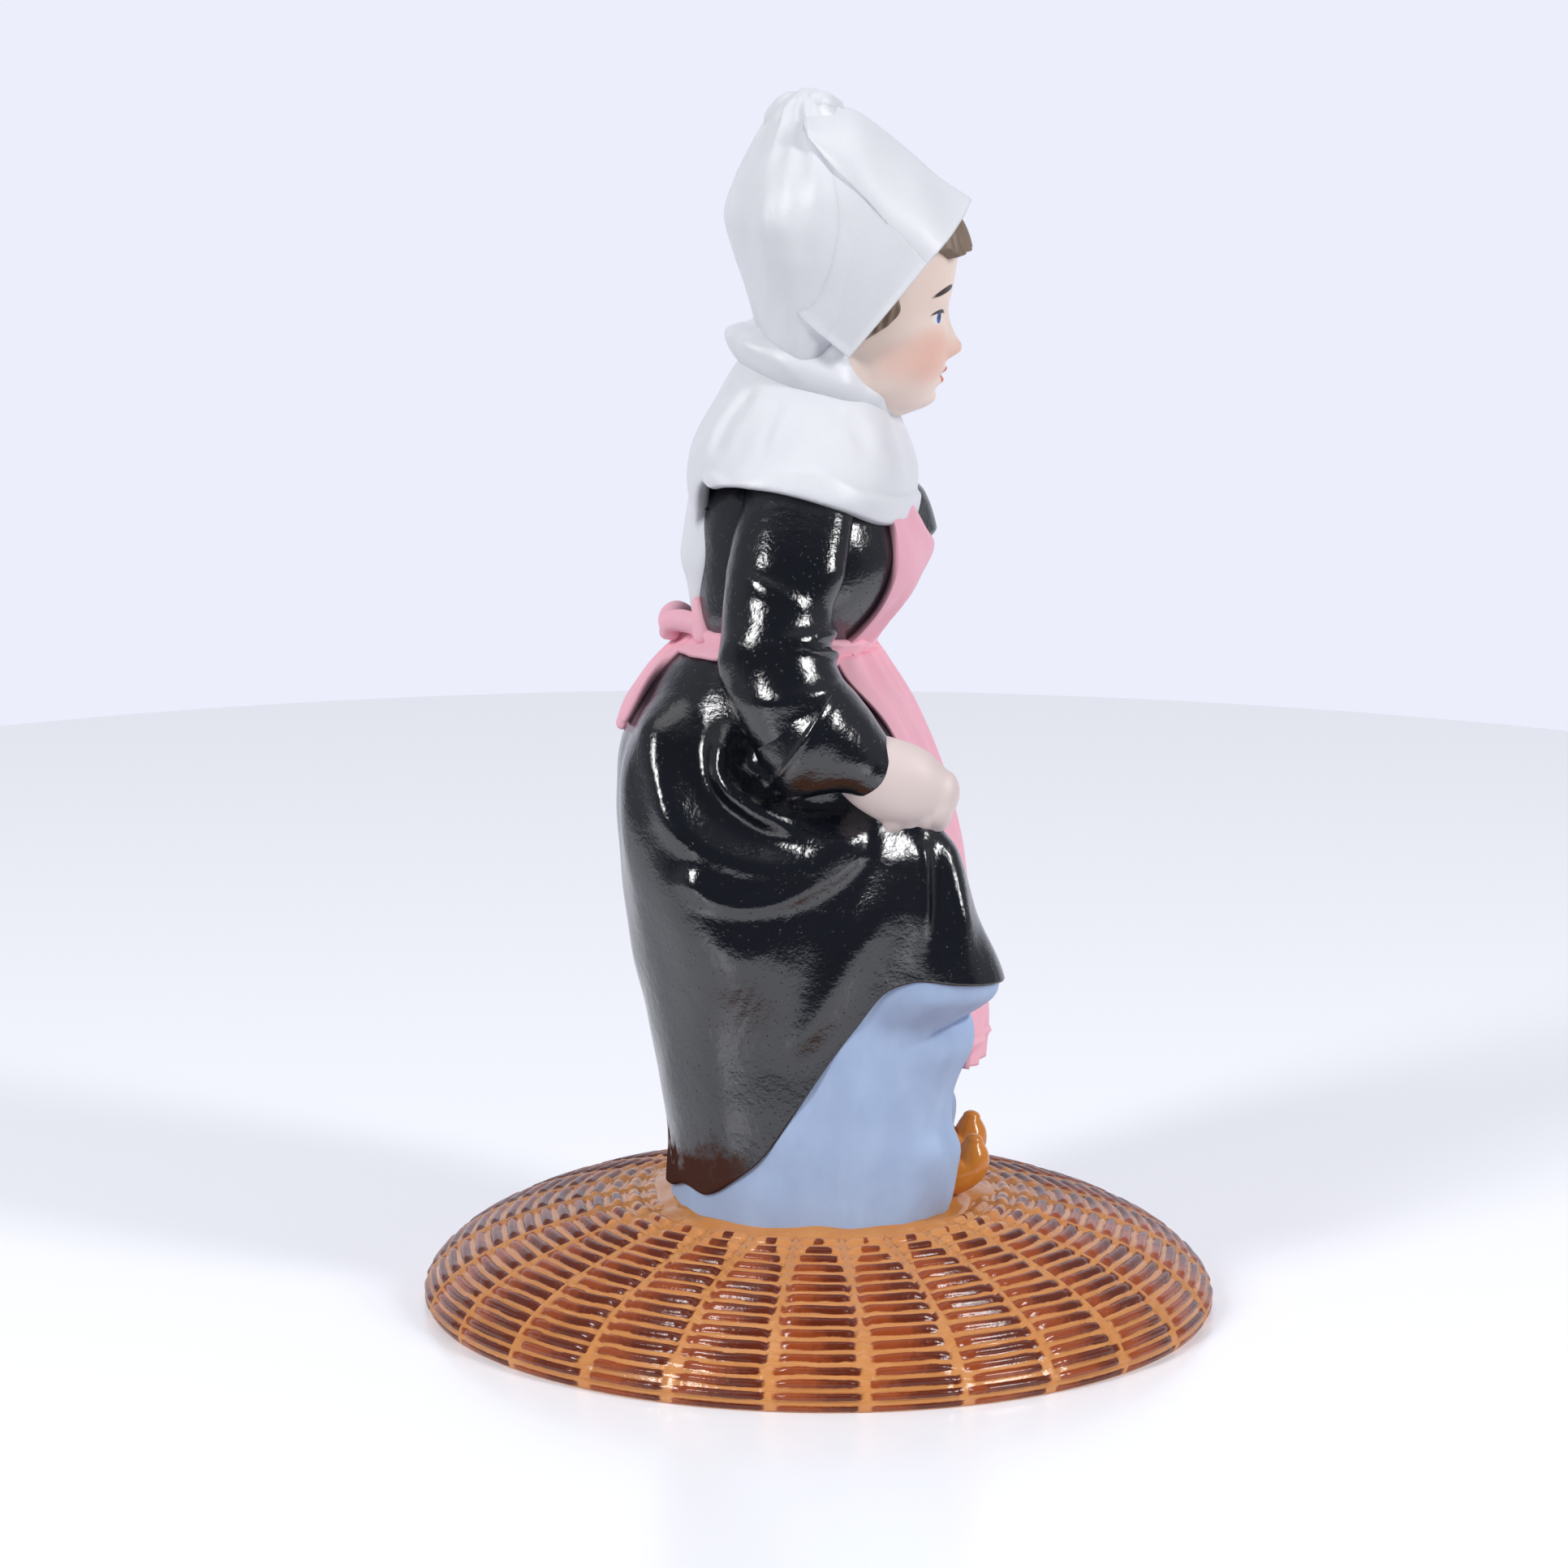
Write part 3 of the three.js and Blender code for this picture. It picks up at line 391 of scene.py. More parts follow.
def slab(name, outer, inner):
    """A closed plate between two open grids of the same size."""
    rows, cols = outer.shape[:2]
    count = rows * cols
    faces = grid_faces(rows, cols, False) + grid_faces(rows, cols, False, count)
    index = np.arange(count).reshape(rows, cols)
    edge = np.concatenate([index[0], index[1:, -1], index[-1, -2::-1], index[-2:0:-1, 0]])
    for here, there in zip(edge, np.roll(edge, -1)):
        faces.append([int(here), int(there), int(there) + count, int(here) + count])
    return piece_from(name, np.concatenate([outer.reshape(-1, 3), inner.reshape(-1, 3)]), faces)


def tube(path, radius, sides=48, rows=60, thin=(0, 1, 0), flatness=None, relief=None):
    """Rings along a smooth path, with rounded ends; flat sections are thin along `thin`."""
    line = spline(path, rows)
    share = np.linspace(0, 1, rows)
    tangent = np.gradient(line, axis=0)
    tangent /= np.linalg.norm(tangent, axis=1)[:, None]
    wide = np.cross(np.array(thin, float), tangent)
    wide /= np.linalg.norm(wide, axis=1)[:, None]
    deep = np.cross(tangent, wide)
    angle = np.linspace(0, 2 * np.pi, sides, endpoint=False)
    size = radius(share)[:, None] * np.ones(sides)
    if relief is not None:
        size = size + relief(share[:, None], angle[None, :])
    flat = flatness(share)[:, None] if flatness is not None else 1.0
    rings = line[:, None] + wide[:, None] * (size * np.cos(angle))[..., None]
    rings = rings + deep[:, None] * (size * flat * np.sin(angle))[..., None]
    lids = []
    for at, sign in ((0, -1), (-1, 1)):
        middle = rings[at].mean(axis=0)
        depth = 0.75 * radius(share)[at]
        turns = np.linspace(0.2, 1, 7)[:-1] * np.pi / 2
        lid = []
        for t in turns:
            ring = middle + (rings[at] - middle) * math.cos(t)
            lid.append(ring + sign * tangent[at] * depth * math.sin(t))
        lids.append(np.array(lid))
    return np.concatenate([lids[0][::-1], rings, lids[1]])


def make_plain(piece):
    """Turns a piece and its modifiers into one plain mesh, shaded smooth."""
    evaluated = piece.evaluated_get(bpy.context.evaluated_depsgraph_get())
    mesh = bpy.data.meshes.new_from_object(evaluated)
    piece.modifiers.clear()
    piece.data = mesh
    mesh.shade_smooth()


def fuse(name, parts, voxel, rounds):
    """Joins overlapping closed pieces into one skin, as wet clay joins, and softens it."""
    for part in parts[1:]:
        part.data.materials.clear()
    with bpy.context.temp_override(active_object=parts[0], selected_editable_objects=parts):
        bpy.ops.object.join()
    made = parts[0]
    made.name = name
    skin = made.modifiers.new("skin", "REMESH")
    skin.mode = "VOXEL"
    skin.voxel_size = voxel * MM
    soften = made.modifiers.new("soften", "SMOOTH")
    soften.factor = 0.5
    soften.iterations = rounds
    make_plain(made)
    made.data.name = name
    return made

# %% Marking hollows, and handing a piece to the frame
SPREAD_ROUNDS = 8


def mark_hollows(piece, depth):
    """Stores where the surface is hollow, 0 to 1; finishes darken these creases with painted shade, the white
    bisque with a dusting too.
    """
    mesh = piece.data
    count = len(mesh.vertices)
    place = np.empty(count * 3)
    mesh.vertices.foreach_get("co", place)
    place = place.reshape(-1, 3) / MM
    normal = np.empty(count * 3)
    mesh.vertices.foreach_get("normal", normal)
    ends = np.empty(len(mesh.edges) * 2, int)
    mesh.edges.foreach_get("vertices", ends)
    a, b = ends.reshape(-1, 2).T
    links = np.bincount(np.concatenate([a, b]), minlength=count).clip(1)
    smooth = place.copy()
    for _ in range(SPREAD_ROUNDS):
        total = np.stack([
            np.bincount(a, smooth[b, k], count) + np.bincount(b, smooth[a, k], count) for k in range(3)
        ], axis=-1)
        smooth = total / links[:, None]
    sunk = ((smooth - place) * normal.reshape(-1, 3)).sum(axis=1)
    attribute = mesh.attributes.new("hollow", "FLOAT", "POINT")
    attribute.data.foreach_set("value", np.clip(sunk / depth, -1, 1))


def hand_over(piece, nodes, material, hollow_depth=0.25):
    """Gives a finished piece its material and its place in the frame."""
    piece.data.materials.clear()
    piece.data.materials.append(material)
    mark_hollows(piece, hollow_depth)
    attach(piece, "root")
    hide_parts(*nodes)
    triangles = sum(len(face.vertices) - 2 for face in piece.data.polygons)
    print(f"{piece.name}: {triangles} triangles")

# %% [markdown]
# ## Finishes
# The dress is a thick black glaze, shiny and a little uneven, with pinholes that catch the light. Bonnet,
# shawl and skin are bisque: fired clay without glaze, matte and slightly translucent. Apron and petticoat
# are painted and have a thin satin glaze. Each finish reads the "hollow" mark, and the finishes paint
# shade into the creases with it; noise on object coordinates gives the brush marks and the specks.

# %% Parts that every finish shares
GRAIN_ROUGHNESS = 0.55


def start_finish(name):
    material = bpy.data.materials.new(name)
    material.use_nodes = True
    tree = material.node_tree
    skin = tree.nodes["Principled BSDF"]
    place = node(tree, "ShaderNodeTexCoord").outputs["Object"]
    hollow = node(tree, "ShaderNodeAttribute", attribute_name="hollow").outputs["Fac"]
    return material, tree, skin, place, hollow


def grain(tree, place, scale, detail=3.0, stretch=None):
    """Noise of the given number of grains to a metre, 0 to 1."""
    if stretch is not None:
        place = node(tree, "ShaderNodeMapping", {"Vector": place, "Scale": stretch}).outputs["Vector"]
    inputs = {"Vector": place, "Scale": scale, "Detail": detail, "Roughness": GRAIN_ROUGHNESS}
    return node(tree, "ShaderNodeTexNoise", inputs).outputs["Fac"]


def about_zero(tree, noise, size):
    """Noise of 0 to 1 as a change of either sign."""
    return times(tree, minus(tree, noise, 0.5), size)


def specks(tree, place, scale, size):
    """Sparse round spots: 1 inside a spot."""
    cells = node(tree, "ShaderNodeTexVoronoi", {"Vector": place, "Scale": scale})
    chosen = ramp(tree, calc(tree, "FRACT", times(tree, cells.outputs["Color"], 7.3)), 0.86, 0.87)
    spot = ramp(tree, cells.outputs["Distance"], size, size * 0.55)
    return times(tree, chosen, spot)


def raise_surface(tree, skin, height, depth):
    made = node(tree, "ShaderNodeBump", {"Height": height, "Distance": depth * MM, "Strength": 1.0})
    tree.links.new(made.outputs["Normal"], skin.inputs["Normal"])

# %% Black glaze
def black_glaze():
    material, tree, skin, place, _ = start_finish("black_glaze")
    part = node(tree, "ShaderNodeSeparateXYZ", {"Vector": place}).outputs
    cloud = grain(tree, place, 60)
    black = blend(tree, cloud, shade(9, 11, 17), shade(20, 22, 30))
    low = minus(tree, part["Z"], about_zero(tree, grain(tree, place, 420, 5), 0.012))
    worn = times(tree, ramp(tree, low, 0.0215, 0.0185), ramp(tree, part["X"], -0.006, -0.010))
    tree.links.new(blend(tree, worn, black, shade(74, 48, 42)), skin.inputs["Base Color"])
    shine = times(tree, minus(tree, 1.0, worn), 0.5)
    tree.links.new(shine, skin.inputs["Specular IOR Level"])
    rough = plus(tree, ramp(tree, cloud, -0.2, 6.0, False), times(tree, worn, 0.25))
    tree.links.new(rough, skin.inputs["Roughness"])
    pits = specks(tree, place, 2600, 0.30)
    fine = times(tree, grain(tree, place, 2600, 4), 0.42)
    broad = times(tree, grain(tree, place, 140, 3), 1.2)
    wave = plus(tree, plus(tree, grain(tree, place, 380, 2), broad), fine)
    raise_surface(tree, skin, minus(tree, wave, times(tree, pits, 0.8)), 0.11)
    skin.inputs["IOR"].default_value = 1.8
    return material

# %% White bisque
def white_bisque():
    material, tree, skin, place, hollow = start_finish("white_bisque")
    cloud = grain(tree, place, 130, 4)
    white = blend(tree, cloud, shade(222, 223, 230), shade(235, 236, 241))
    # The hollows turn greyer: painted shade in the creases, with a dusting as well.
    dust_and_shade = times(tree, ramp(tree, hollow, 0.05, 0.9), 0.75)
    dusted_and_shaded = blend(tree, dust_and_shade, white, shade(176, 172, 172))
    spots = times(tree, specks(tree, place, 210, 0.055), 0.8)
    tree.links.new(blend(tree, spots, dusted_and_shaded, shade(70, 66, 70)), skin.inputs["Base Color"])
    raise_surface(tree, skin, grain(tree, place, 1500, 4), 0.03)
    skin.inputs["Roughness"].default_value = 0.42
    skin.inputs["Subsurface Weight"].default_value = 0.25
    skin.inputs["Subsurface Radius"].default_value = (1.0, 0.9, 0.85)
    skin.inputs["Subsurface Scale"].default_value = 1.2 * MM
    return material

# %% Pink and blue satin
def painted_satin(name, light, deep, crease, streaks):
    material, tree, skin, place, hollow = start_finish(name)
    cloud = grain(tree, place, 170, 4)
    brushed = grain(tree, place, 500, 3, stretch=streaks)
    paint = blend(tree, times(tree, cloud, brushed), deep, light)
    # The hollows take the darker crease colour: painted shade.
    shaded_creases = blend(tree, ramp(tree, hollow, 0.05, 0.8), paint, crease)
    spots = times(tree, specks(tree, place, 260, 0.05), 0.6)
    tree.links.new(blend(tree, spots, shaded_creases, shade(90, 84, 100)), skin.inputs["Base Color"])
    tree.links.new(ramp(tree, cloud, -1.2, 1.9, False), skin.inputs["Roughness"])
    raise_surface(tree, skin, brushed, 0.05)
    return material

# %% Skin, hair, clogs and ground
def plain_glaze(name, light, dark, crease, roughness, lumps, bump):
    material, tree, skin, place, hollow = start_finish(name)
    cloud = grain(tree, place, lumps, 4)
    # The crease colour darkens the hollows: painted shade.
    colour = blend(tree, ramp(tree, hollow, 0.0, 0.8), blend(tree, cloud, dark, light), crease)
    tree.links.new(colour, skin.inputs["Base Color"])
    raise_surface(tree, skin, cloud, bump)
    skin.inputs["Roughness"].default_value = roughness
    return material


BLACK = black_glaze()
WHITE = white_bisque()
PINK = painted_satin(
    "pink_satin", shade(252, 206, 217), shade(244, 176, 195), shade(232, 142, 132), (1, 1, 0.15))
BLUE = painted_satin(
    "blue_satin", shade(190, 210, 238), shade(158, 180, 216), shade(120, 138, 180), (1, 1, 0.5))
SKIN = plain_glaze(
    "skin_bisque", shade(230, 214, 211), shade(221, 203, 200), shade(204, 168, 156), 0.5, 240, 0.02)
HAIR = plain_glaze(
    "hair_bisque", shade(150, 130, 114), shade(118, 99, 84), shade(78, 63, 54), 0.5, 500, 0.03)
CLOG = plain_glaze(
    "clog_glaze", shade(228, 150, 66), shade(200, 118, 44), shade(120, 58, 24), 0.16, 300, 0.03)
GROUND = plain_glaze(
    "mound_glaze", shade(214, 152, 88), shade(186, 112, 52), shade(140, 78, 38), 0.22, 330, 0.06)
print("finishes made:", len(bpy.data.materials))

# %% [markdown]
# ## The basket base
# The base is a low dome, half of an ellipse in section, hollow below. Its basket work follows a rule:
# stakes at even angles, and rows of weavers that swell between two stakes and dip behind them. So the dome
# is made plain, each point knows its share of the way round and of the way up, and a Geometry Nodes tree
# raises the weave. The same tree stores where the brown brush touched the crests, for the finish to read.

# %% The plain dome, ready for weaving
BASE_RADIUS = 43.6
BASE_RISE = 13.2
BASE_WALL = 3.0
WEAVE_START = 16.5
STAKES = 26
WEAVE_ROWS = 17
STEPS_PER_CELL = 14
STEPS_PER_ROW = 10
RIM_FADE_STEPS = 5
TOP_FADE_STEPS = 22


def dome_profile(radius, rise, inner, count):
    """Points of a half ellipse from its rim up to an inner radius, evenly spread."""
    turn_angle = np.linspace(0, math.acos(inner / radius), 400)
    line = np.stack([radius * np.cos(turn_angle), rise * np.sin(turn_angle)], axis=-1)
    stretch = np.concatenate([[0], np.cumsum(np.linalg.norm(np.diff(line, axis=0), axis=1))])
    spread = np.linspace(0, stretch[-1], count)
    return np.stack([np.interp(spread, stretch, line[:, k]) for k in range(2)], axis=-1)


def plain_dome():
    woven = dome_profile(BASE_RADIUS, BASE_RISE, WEAVE_START, WEAVE_ROWS * STEPS_PER_ROW + 1)
    crown = dome_profile(BASE_RADIUS, BASE_RISE, 0.4, 400)
    crown = crown[crown[:, 0] < WEAVE_START - 1][::24]
    hollow = dome_profile(BASE_RADIUS - BASE_WALL, BASE_RISE - BASE_WALL, 0.4, 14)[::-1]
    profile = np.concatenate([hollow, woven, crown])
    rise = np.concatenate([np.zeros(len(hollow)), np.linspace(0, 1, len(woven)), np.ones(len(crown))])
    steps = np.arange(len(woven))
    last = len(woven) - 1
    is_woven = np.concatenate([
        np.zeros(len(hollow)),
        step(steps, 0, RIM_FADE_STEPS) * step(steps, last, last + 1 - TOP_FADE_STEPS),
        np.zeros(len(crown)),
    ])
    cols = STAKES * STEPS_PER_CELL
    share = np.arange(cols) / cols
    angle = share * 2 * np.pi
    ring = np.stack([np.cos(angle), np.sin(angle)], axis=-1)
    grid = np.zeros((len(profile), cols, 3))
    grid[..., :2] = profile[:, 0, None, None] * ring[None]
    grid[..., 2] = profile[:, 1, None]
    dome = closed_loft("wicker_base", grid)
    for name, values in (
        ("way_round", np.tile(share, (len(profile), 1))),
        ("way_up", np.tile(rise[:, None], (1, cols))),
        ("woven", np.tile(is_woven[:, None], (1, cols))),
    ):
        ends = [0.0, 0.0]
        attribute = dome.data.attributes.new(name, "FLOAT", "POINT")
        attribute.data.foreach_set("value", np.concatenate([values.ravel(), ends]))
    return dome

# %% The weaving tree
BROAD_SHARE = 0.74
WEAVER_RELIEF = 0.68 * MM
STAKE_RELIEF = 0.5 * MM
WEAVE_SEED = 7


def rounded(tree, share):
    """The height of a strand across its width, 0 to 1."""
    return calc(tree, "POWER", calc(tree, "SINE", times(tree, share, math.pi)), 0.65)


def weaving_tree():
    tree = bpy.data.node_groups.new("weave_basket", "GeometryNodeTree")
    face = tree.interface
    face.new_socket("Geometry", in_out="INPUT", socket_type="NodeSocketGeometry")
    for name, value in (
        ("Stakes", STAKES), ("Rows", WEAVE_ROWS),
        ("Weaver relief", WEAVER_RELIEF), ("Stake relief", STAKE_RELIEF),
    ):
        face.new_socket(name, in_out="INPUT", socket_type="NodeSocketFloat").default_value = value
    face.new_socket("Seed", in_out="INPUT", socket_type="NodeSocketInt").default_value = WEAVE_SEED
    face.new_socket("Finish", in_out="INPUT", socket_type="NodeSocketMaterial")
    face.new_socket("Geometry", in_out="OUTPUT", socket_type="NodeSocketGeometry")
    given = node(tree, "NodeGroupInput").outputs
    read = {}
    for name in ("way_round", "way_up", "woven"):
        named = node(tree, "GeometryNodeInputNamedAttribute", {"Name": name}, data_type="FLOAT")
        read[name] = named.outputs["Attribute"]

    def chance_of(number):
        """A fixed chance, 0 to 1, for a numbered cell or strand."""
        draw = node(tree, "FunctionNodeRandomValue", {"ID": number, "Seed": given["Seed"]})
        return draw.outputs["Value"]

    # Where a point lies in its cell between two stakes, and in its row.
    cell = times(tree, read["way_round"], given["Stakes"])
    in_cell = calc(tree, "FRACT", cell)
    cell_number = calc(tree, "FLOOR", cell)
    cell_chance = chance_of(cell_number)
    place = node(tree, "GeometryNodeInputPosition").outputs["Position"]
    waver = node(tree, "ShaderNodeTexNoise", {"Vector": place, "Scale": 130.0, "Detail": 1.0}).outputs["Fac"]
    shift = plus(tree, times(tree, cell_chance, 0.3), times(tree, waver, 0.5))
    shift = times(tree, shift, ramp(tree, read["way_up"], 0.0, 0.2))
    closer_at_rim = calc(tree, "POWER", read["way_up"], 0.85)
    row = plus(tree, times(tree, closer_at_rim, given["Rows"]), shift)
    in_row = calc(tree, "FRACT", row)
    strand_number = plus(tree, times(tree, cell_number, 64.0), calc(tree, "FLOOR", row))
    chance = chance_of(strand_number)

    # The relief: weavers swell between the stakes and dip at them.
    past_broad = minus(tree, in_row, BROAD_SHARE)
    broad = rounded(tree, calc(tree, "MINIMUM", calc(tree, "DIVIDE", in_row, BROAD_SHARE), 1.0))
    thin = rounded(tree, calc(tree, "MAXIMUM", calc(tree, "DIVIDE", past_broad, 1 - BROAD_SHARE), 0.0))
    swell = calc(tree, "MAXIMUM", broad, times(tree, thin, 0.62))
    edge = calc(tree, "MINIMUM", in_cell, minus(tree, 1.0, in_cell))
    between_stakes = ramp(tree, edge, 0.02, 0.17)
    on_stake = ramp(tree, edge, 0.07, 0.02)
    weaver = times(tree, times(tree, swell, between_stakes), given["Weaver relief"])
    stake = times(tree, on_stake, given["Stake relief"])
    height = times(tree, calc(tree, "MAXIMUM", weaver, stake), read["woven"])
    normal = node(tree, "GeometryNodeInputNormal").outputs["Normal"]
    push = node(tree, "ShaderNodeVectorMath", {0: normal, "Scale": height}, operation="SCALE")

    # The paint: a brush stroke along each weaver, paler where the brush set down.
    narrowing = times(tree, ramp(tree, read["way_up"], 0.6, 0.95), 0.44)
    margin = plus(tree, times(tree, chance, 0.07), narrowing)
    from_end = minus(tree, edge, margin)
    stroke = ramp(tree, from_end, 0.005, 0.055)
    crest = ramp(tree, minus(tree, broad, times(tree, chance, 0.15)), 0.15, 0.50)
    brown = times(tree, crest, stroke)
    tone = ramp(tree, minus(tree, in_cell, times(tree, chance, 0.45)), -0.15, 0.55)
    # Painted shade for the low grooves between the strands.
    groove_shade = times(tree, minus(tree, 1.0, swell), read["woven"])
    flow_of_geometry = given["Geometry"]
    for name, value in (("brown", brown), ("tone", tone), ("groove_shade", groove_shade)):
        stored = node(tree, "GeometryNodeStoreNamedAttribute", {
            "Geometry": flow_of_geometry, "Name": name, "Value": value}, data_type="FLOAT", domain="POINT")
        flow_of_geometry = stored.outputs[0]
    moved = {"Geometry": flow_of_geometry, "Offset": push.outputs["Vector"]}
    raised = node(tree, "GeometryNodeSetPosition", moved)
    real = node(tree, "GeometryNodeRealizeInstances", {"Geometry": raised.outputs[0]})
    finished = {"Geometry": real.outputs[0], "Material": given["Finish"]}
    painted = node(tree, "GeometryNodeSetMaterial", finished)
    out = node(tree, "NodeGroupOutput")
    tree.links.new(painted.outputs[0], out.inputs[0])
    return tree

# %% The basket's finish
def wicker_glaze():
    material, tree, skin, place, _ = start_finish("wicker_glaze")
    marks = {}
    for name in ("brown", "tone", "groove_shade"):
        marks[name] = node(tree, "ShaderNodeAttribute", attribute_name=name).outputs["Fac"]
    cloud = grain(tree, place, 220, 4)
    brush = grain(tree, place, 1300, 4)
    tan = blend(tree, cloud, shade(198, 126, 66), shade(222, 158, 100))
    # The grooves are darkened with painted shade.
    sunk = times(tree, ramp(tree, marks["groove_shade"], 0.55, 1.0), 0.35)
    tan = blend(tree, sunk, tan, shade(158, 92, 44))
    amount = ramp(tree, plus(tree, marks["brown"], about_zero(tree, brush, 0.55)), 0.14, 0.62)
    dark = plus(tree, marks["tone"], about_zero(tree, brush, 0.9))
    mahogany = blend(tree, ramp(tree, dark, 0.1, 1.0), shade(154, 72, 33), shade(98, 38, 17))
    tree.links.new(blend(tree, amount, tan, mahogany), skin.inputs["Base Color"])
    raise_surface(tree, skin, brush, 0.05)
    skin.inputs["Roughness"].default_value = 0.2
    skin.inputs["IOR"].default_value = 1.5
    return material

# %% Weave the base
def weave(dome, finish):
    tree = weaving_tree()
    weaver = dome.modifiers.new("weave", "NODES")
    weaver.node_group = tree
    wanted = {
        "Stakes": float(STAKES), "Rows": float(WEAVE_ROWS), "Weaver relief": WEAVER_RELIEF,
        "Stake relief": STAKE_RELIEF, "Seed": WEAVE_SEED, "Finish": finish,
    }
    for item in tree.interface.items_tree:
        if item.item_type == "SOCKET" and item.in_out == "INPUT" and item.name in wanted:
            weaver[item.identifier] = wanted[item.name]
    make_plain(dome)


WICKER = wicker_glaze()
wicker_base = plain_dome()
weave(wicker_base, WICKER)
hand_over(wicker_base, ["wicker_base"], WICKER)

# %% [markdown]
# ## Skirts
# The overskirt hangs from the waist, swells over the hips and closes in towards the ground. She lifts it at
# both sides, so the hem climbs from the back corners to her fists, and the cloth hangs from each fist in a
# swag that shows its blue underside. Folds run from the back of the waist round the hip and up to the fist.
# The far side is like the near one, with its fist held a little further back.

# %% The skirt's sections, swags and folds
WAIST_Z = 75.0
FRONT_HEM_Z = 38.6
OPEN_HALF = 8.5
skirt = Sections([
    (9.5, -17.2, 15.6, 18.4), (14.5, -17.0, 15.6, 18.4), (20, -16.9, 15.6, 18.4), (26, -17.9, 15.8, 18.6),
    (33, -19.2, 16.6, 19.0), (40, -20.8, 16.0, 19.8), (46, -21.7, 15.0, 20.2), (52, -22.3, 14.2, 20.1),
    (58, -22.6, 12.6, 19.4), (64, -21.9, 10.4, 17.6), (68.3, -20.0, 8.4, 15.4), (72, -17.4, 6.1, 12.8),
    (75, -14.2, 4.0, 10.4),
], 2.5)
swag_height = flow([(33, 8.4), (40, 8.0), (46, 7.0), (52, 6.0), (57, 5.2), (60, 3.4), (63, 1.0), (66, 0)])
swag_spread = flow([(33, 19), (40, 18.5), (46, 16.5), (52, 13.5), (57, 10), (60, 9), (66, 8)])
swag_angle = flow([(33, 42), (40, 43), (46, 45), (52, 47), (57, 49), (66, 51)])

# Each fold: its way in the side view, its height, the widths of its fall and shoulder, its hollow's depth.
FOLDS = [
    ([(-16.7, 72), (-19.3, 64), (-17.8, 56.2), (-14.8, 50.4), (-11.4, 46.2), (-6.6, 42.0), (0.5, 40.2)],
     2.0, 5.6, 5.4, 0),
    ([(-16.6, 71), (-16.4, 62.5), (-14.2, 56.7), (-10.7, 54.1), (-6.4, 52.7), (-1.8, 53.7), (6.4, 57.5)],
     1.3, 1.7, 1.7, 0.9),
    ([(-9.9, 68), (-10.8, 62.5), (-7.6, 59.4), (-4.2, 57.4), (1.6, 56.2), (6, 58)], 1.2, 1.4, 1.4, 0.8),
    ([(-14.6, 53.2), (-10.7, 49.8), (-6.4, 49.2), (-2, 50.6), (2.2, 53.1), (6.8, 57.3)], 1.0, 1.4, 2.2, 0.4),
    ([(8.2, 57), (6.8, 51), (4.0, 45), (1.2, 38.5), (-1.5, 33), (-3.5, 29)], 1.0, 2.4, 3.8, 0),
    ([(9.9, 57), (10.2, 50), (10.0, 37)], 1.0, 1.2, 1.2, 0.6),
    ([(13.1, 57), (14.5, 49.2), (16.2, 37)], 0.9, 1.3, 1.3, 0.6),
]


def folds(x, y, z):
    """Raised folds with a fall on the lower side, a shoulder on the upper one, and hollows beside them."""
    out = np.zeros(np.broadcast(x, y, z).shape)
    for way, height, fall, shoulder, hollow in FOLDS:
        gap, share = side_distance(x, z, way)
        fade = step(share, 0, 0.12) * step(share, 1, 0.78)
        raised = height * bell(gap, np.where(gap > 0, shoulder, fall))
        out = out + fade * (raised - hollow * bell(gap - 2.1 * fall, 1.2 * fall))
    return out * step(np.abs(y), 6.5, 13)


FAR_SWAG_TURN = 13


def swag_share(angle, z):
    """1 in the middle of the cloth below a fist, 0 away from it; the far fist is held further back."""
    middle = swag_angle(z) + FAR_SWAG_TURN * (angle > 0)
    return np.exp(-np.abs((np.degrees(np.abs(angle)) - middle) / swag_spread(z)) ** 2.6)


def swag(angle, z):
    """How far the gathered cloth below each fist stands out."""
    return swag_height(z) * swag_share(angle, z)


def skirt_reach(angle, z, with_folds=True):
    """Distance from the skirt's centre line to the cloth, folds and swags included."""
    plain = skirt.reach(angle, z) + swag(angle, z) * step(z, 30, 36)
    if not with_folds:
        return plain
    x = skirt.centre(z) + plain * np.cos(angle)
    y = plain * np.sin(angle)
    return plain + folds(x, y, z)

# %% [markdown]
# ## The ground under her feet
# A plain, slightly lumpy collar of clay runs round the foot of the skirt and the clogs, where the figure
# was stuck to the basket before firing.

# %% The mound
MOUND_Z = 13.5


def dome_height(radius):
    return BASE_RISE * np.sqrt(np.clip(1 - (radius / BASE_RADIUS) ** 2, 0, 1))


def ground_mound():
    share = np.linspace(0, 1, 40)[:, None]
    angle = full_turn(260)
    lumps = 0.25 * np.sin(5 * angle + 1) + 0.2 * np.sin(9 * angle)
    foot = skirt.reach(angle, np.full(len(angle), MOUND_Z)) + 1.5 + lumps
    toes = 20.6 * bell(angle, 0.55)
    edge = np.maximum(foot, toes)
    radius = 0.4 + edge * share
    x = skirt.centre(np.float64(MOUND_Z)) * share + radius * np.cos(angle)
    y = radius * np.sin(angle)
    thickness = flow([
        (0, 1.2), (0.8, 1.1), (0.88, 0.8), (0.93, 0.5), (0.97, 0.3), (0.99, 0.15), (1, -0.6),
    ])(share)
    top = np.stack([x, y, dome_height(np.hypot(x, y)) + thickness], axis=-1)
    top[..., 2] += 0.15 * unevenness(top, 4, 3) * step(share, 1.0, 0.9)
    return closed_loft("ground_mound", top)


hand_over(ground_mound(), ["ground_mound"], GROUND)

# %% The overskirt
HEM_PLAIN = 0.3
HEM_FOLDED = 8.0
SKIRT_WALL = 2.4
HEM_ROLL = ((0.2, -0.16), (0.5, -0.2), (0.8, 0.1), (1.2, 1.5))
hem_line = flow([
    (-40, 14.0), (-16.8, 14.2), (-15.4, 15.6), (-12.4, 15.5), (-9.6, 17.4), (-5.7, 21.1), (-2.7, 25.6),
    (0.8, 31), (4.2, 35.7), (6.8, 39.2), (9.4, 40.6), (14.6, 40.6), (19.5, 40.1), (40, 40),
])


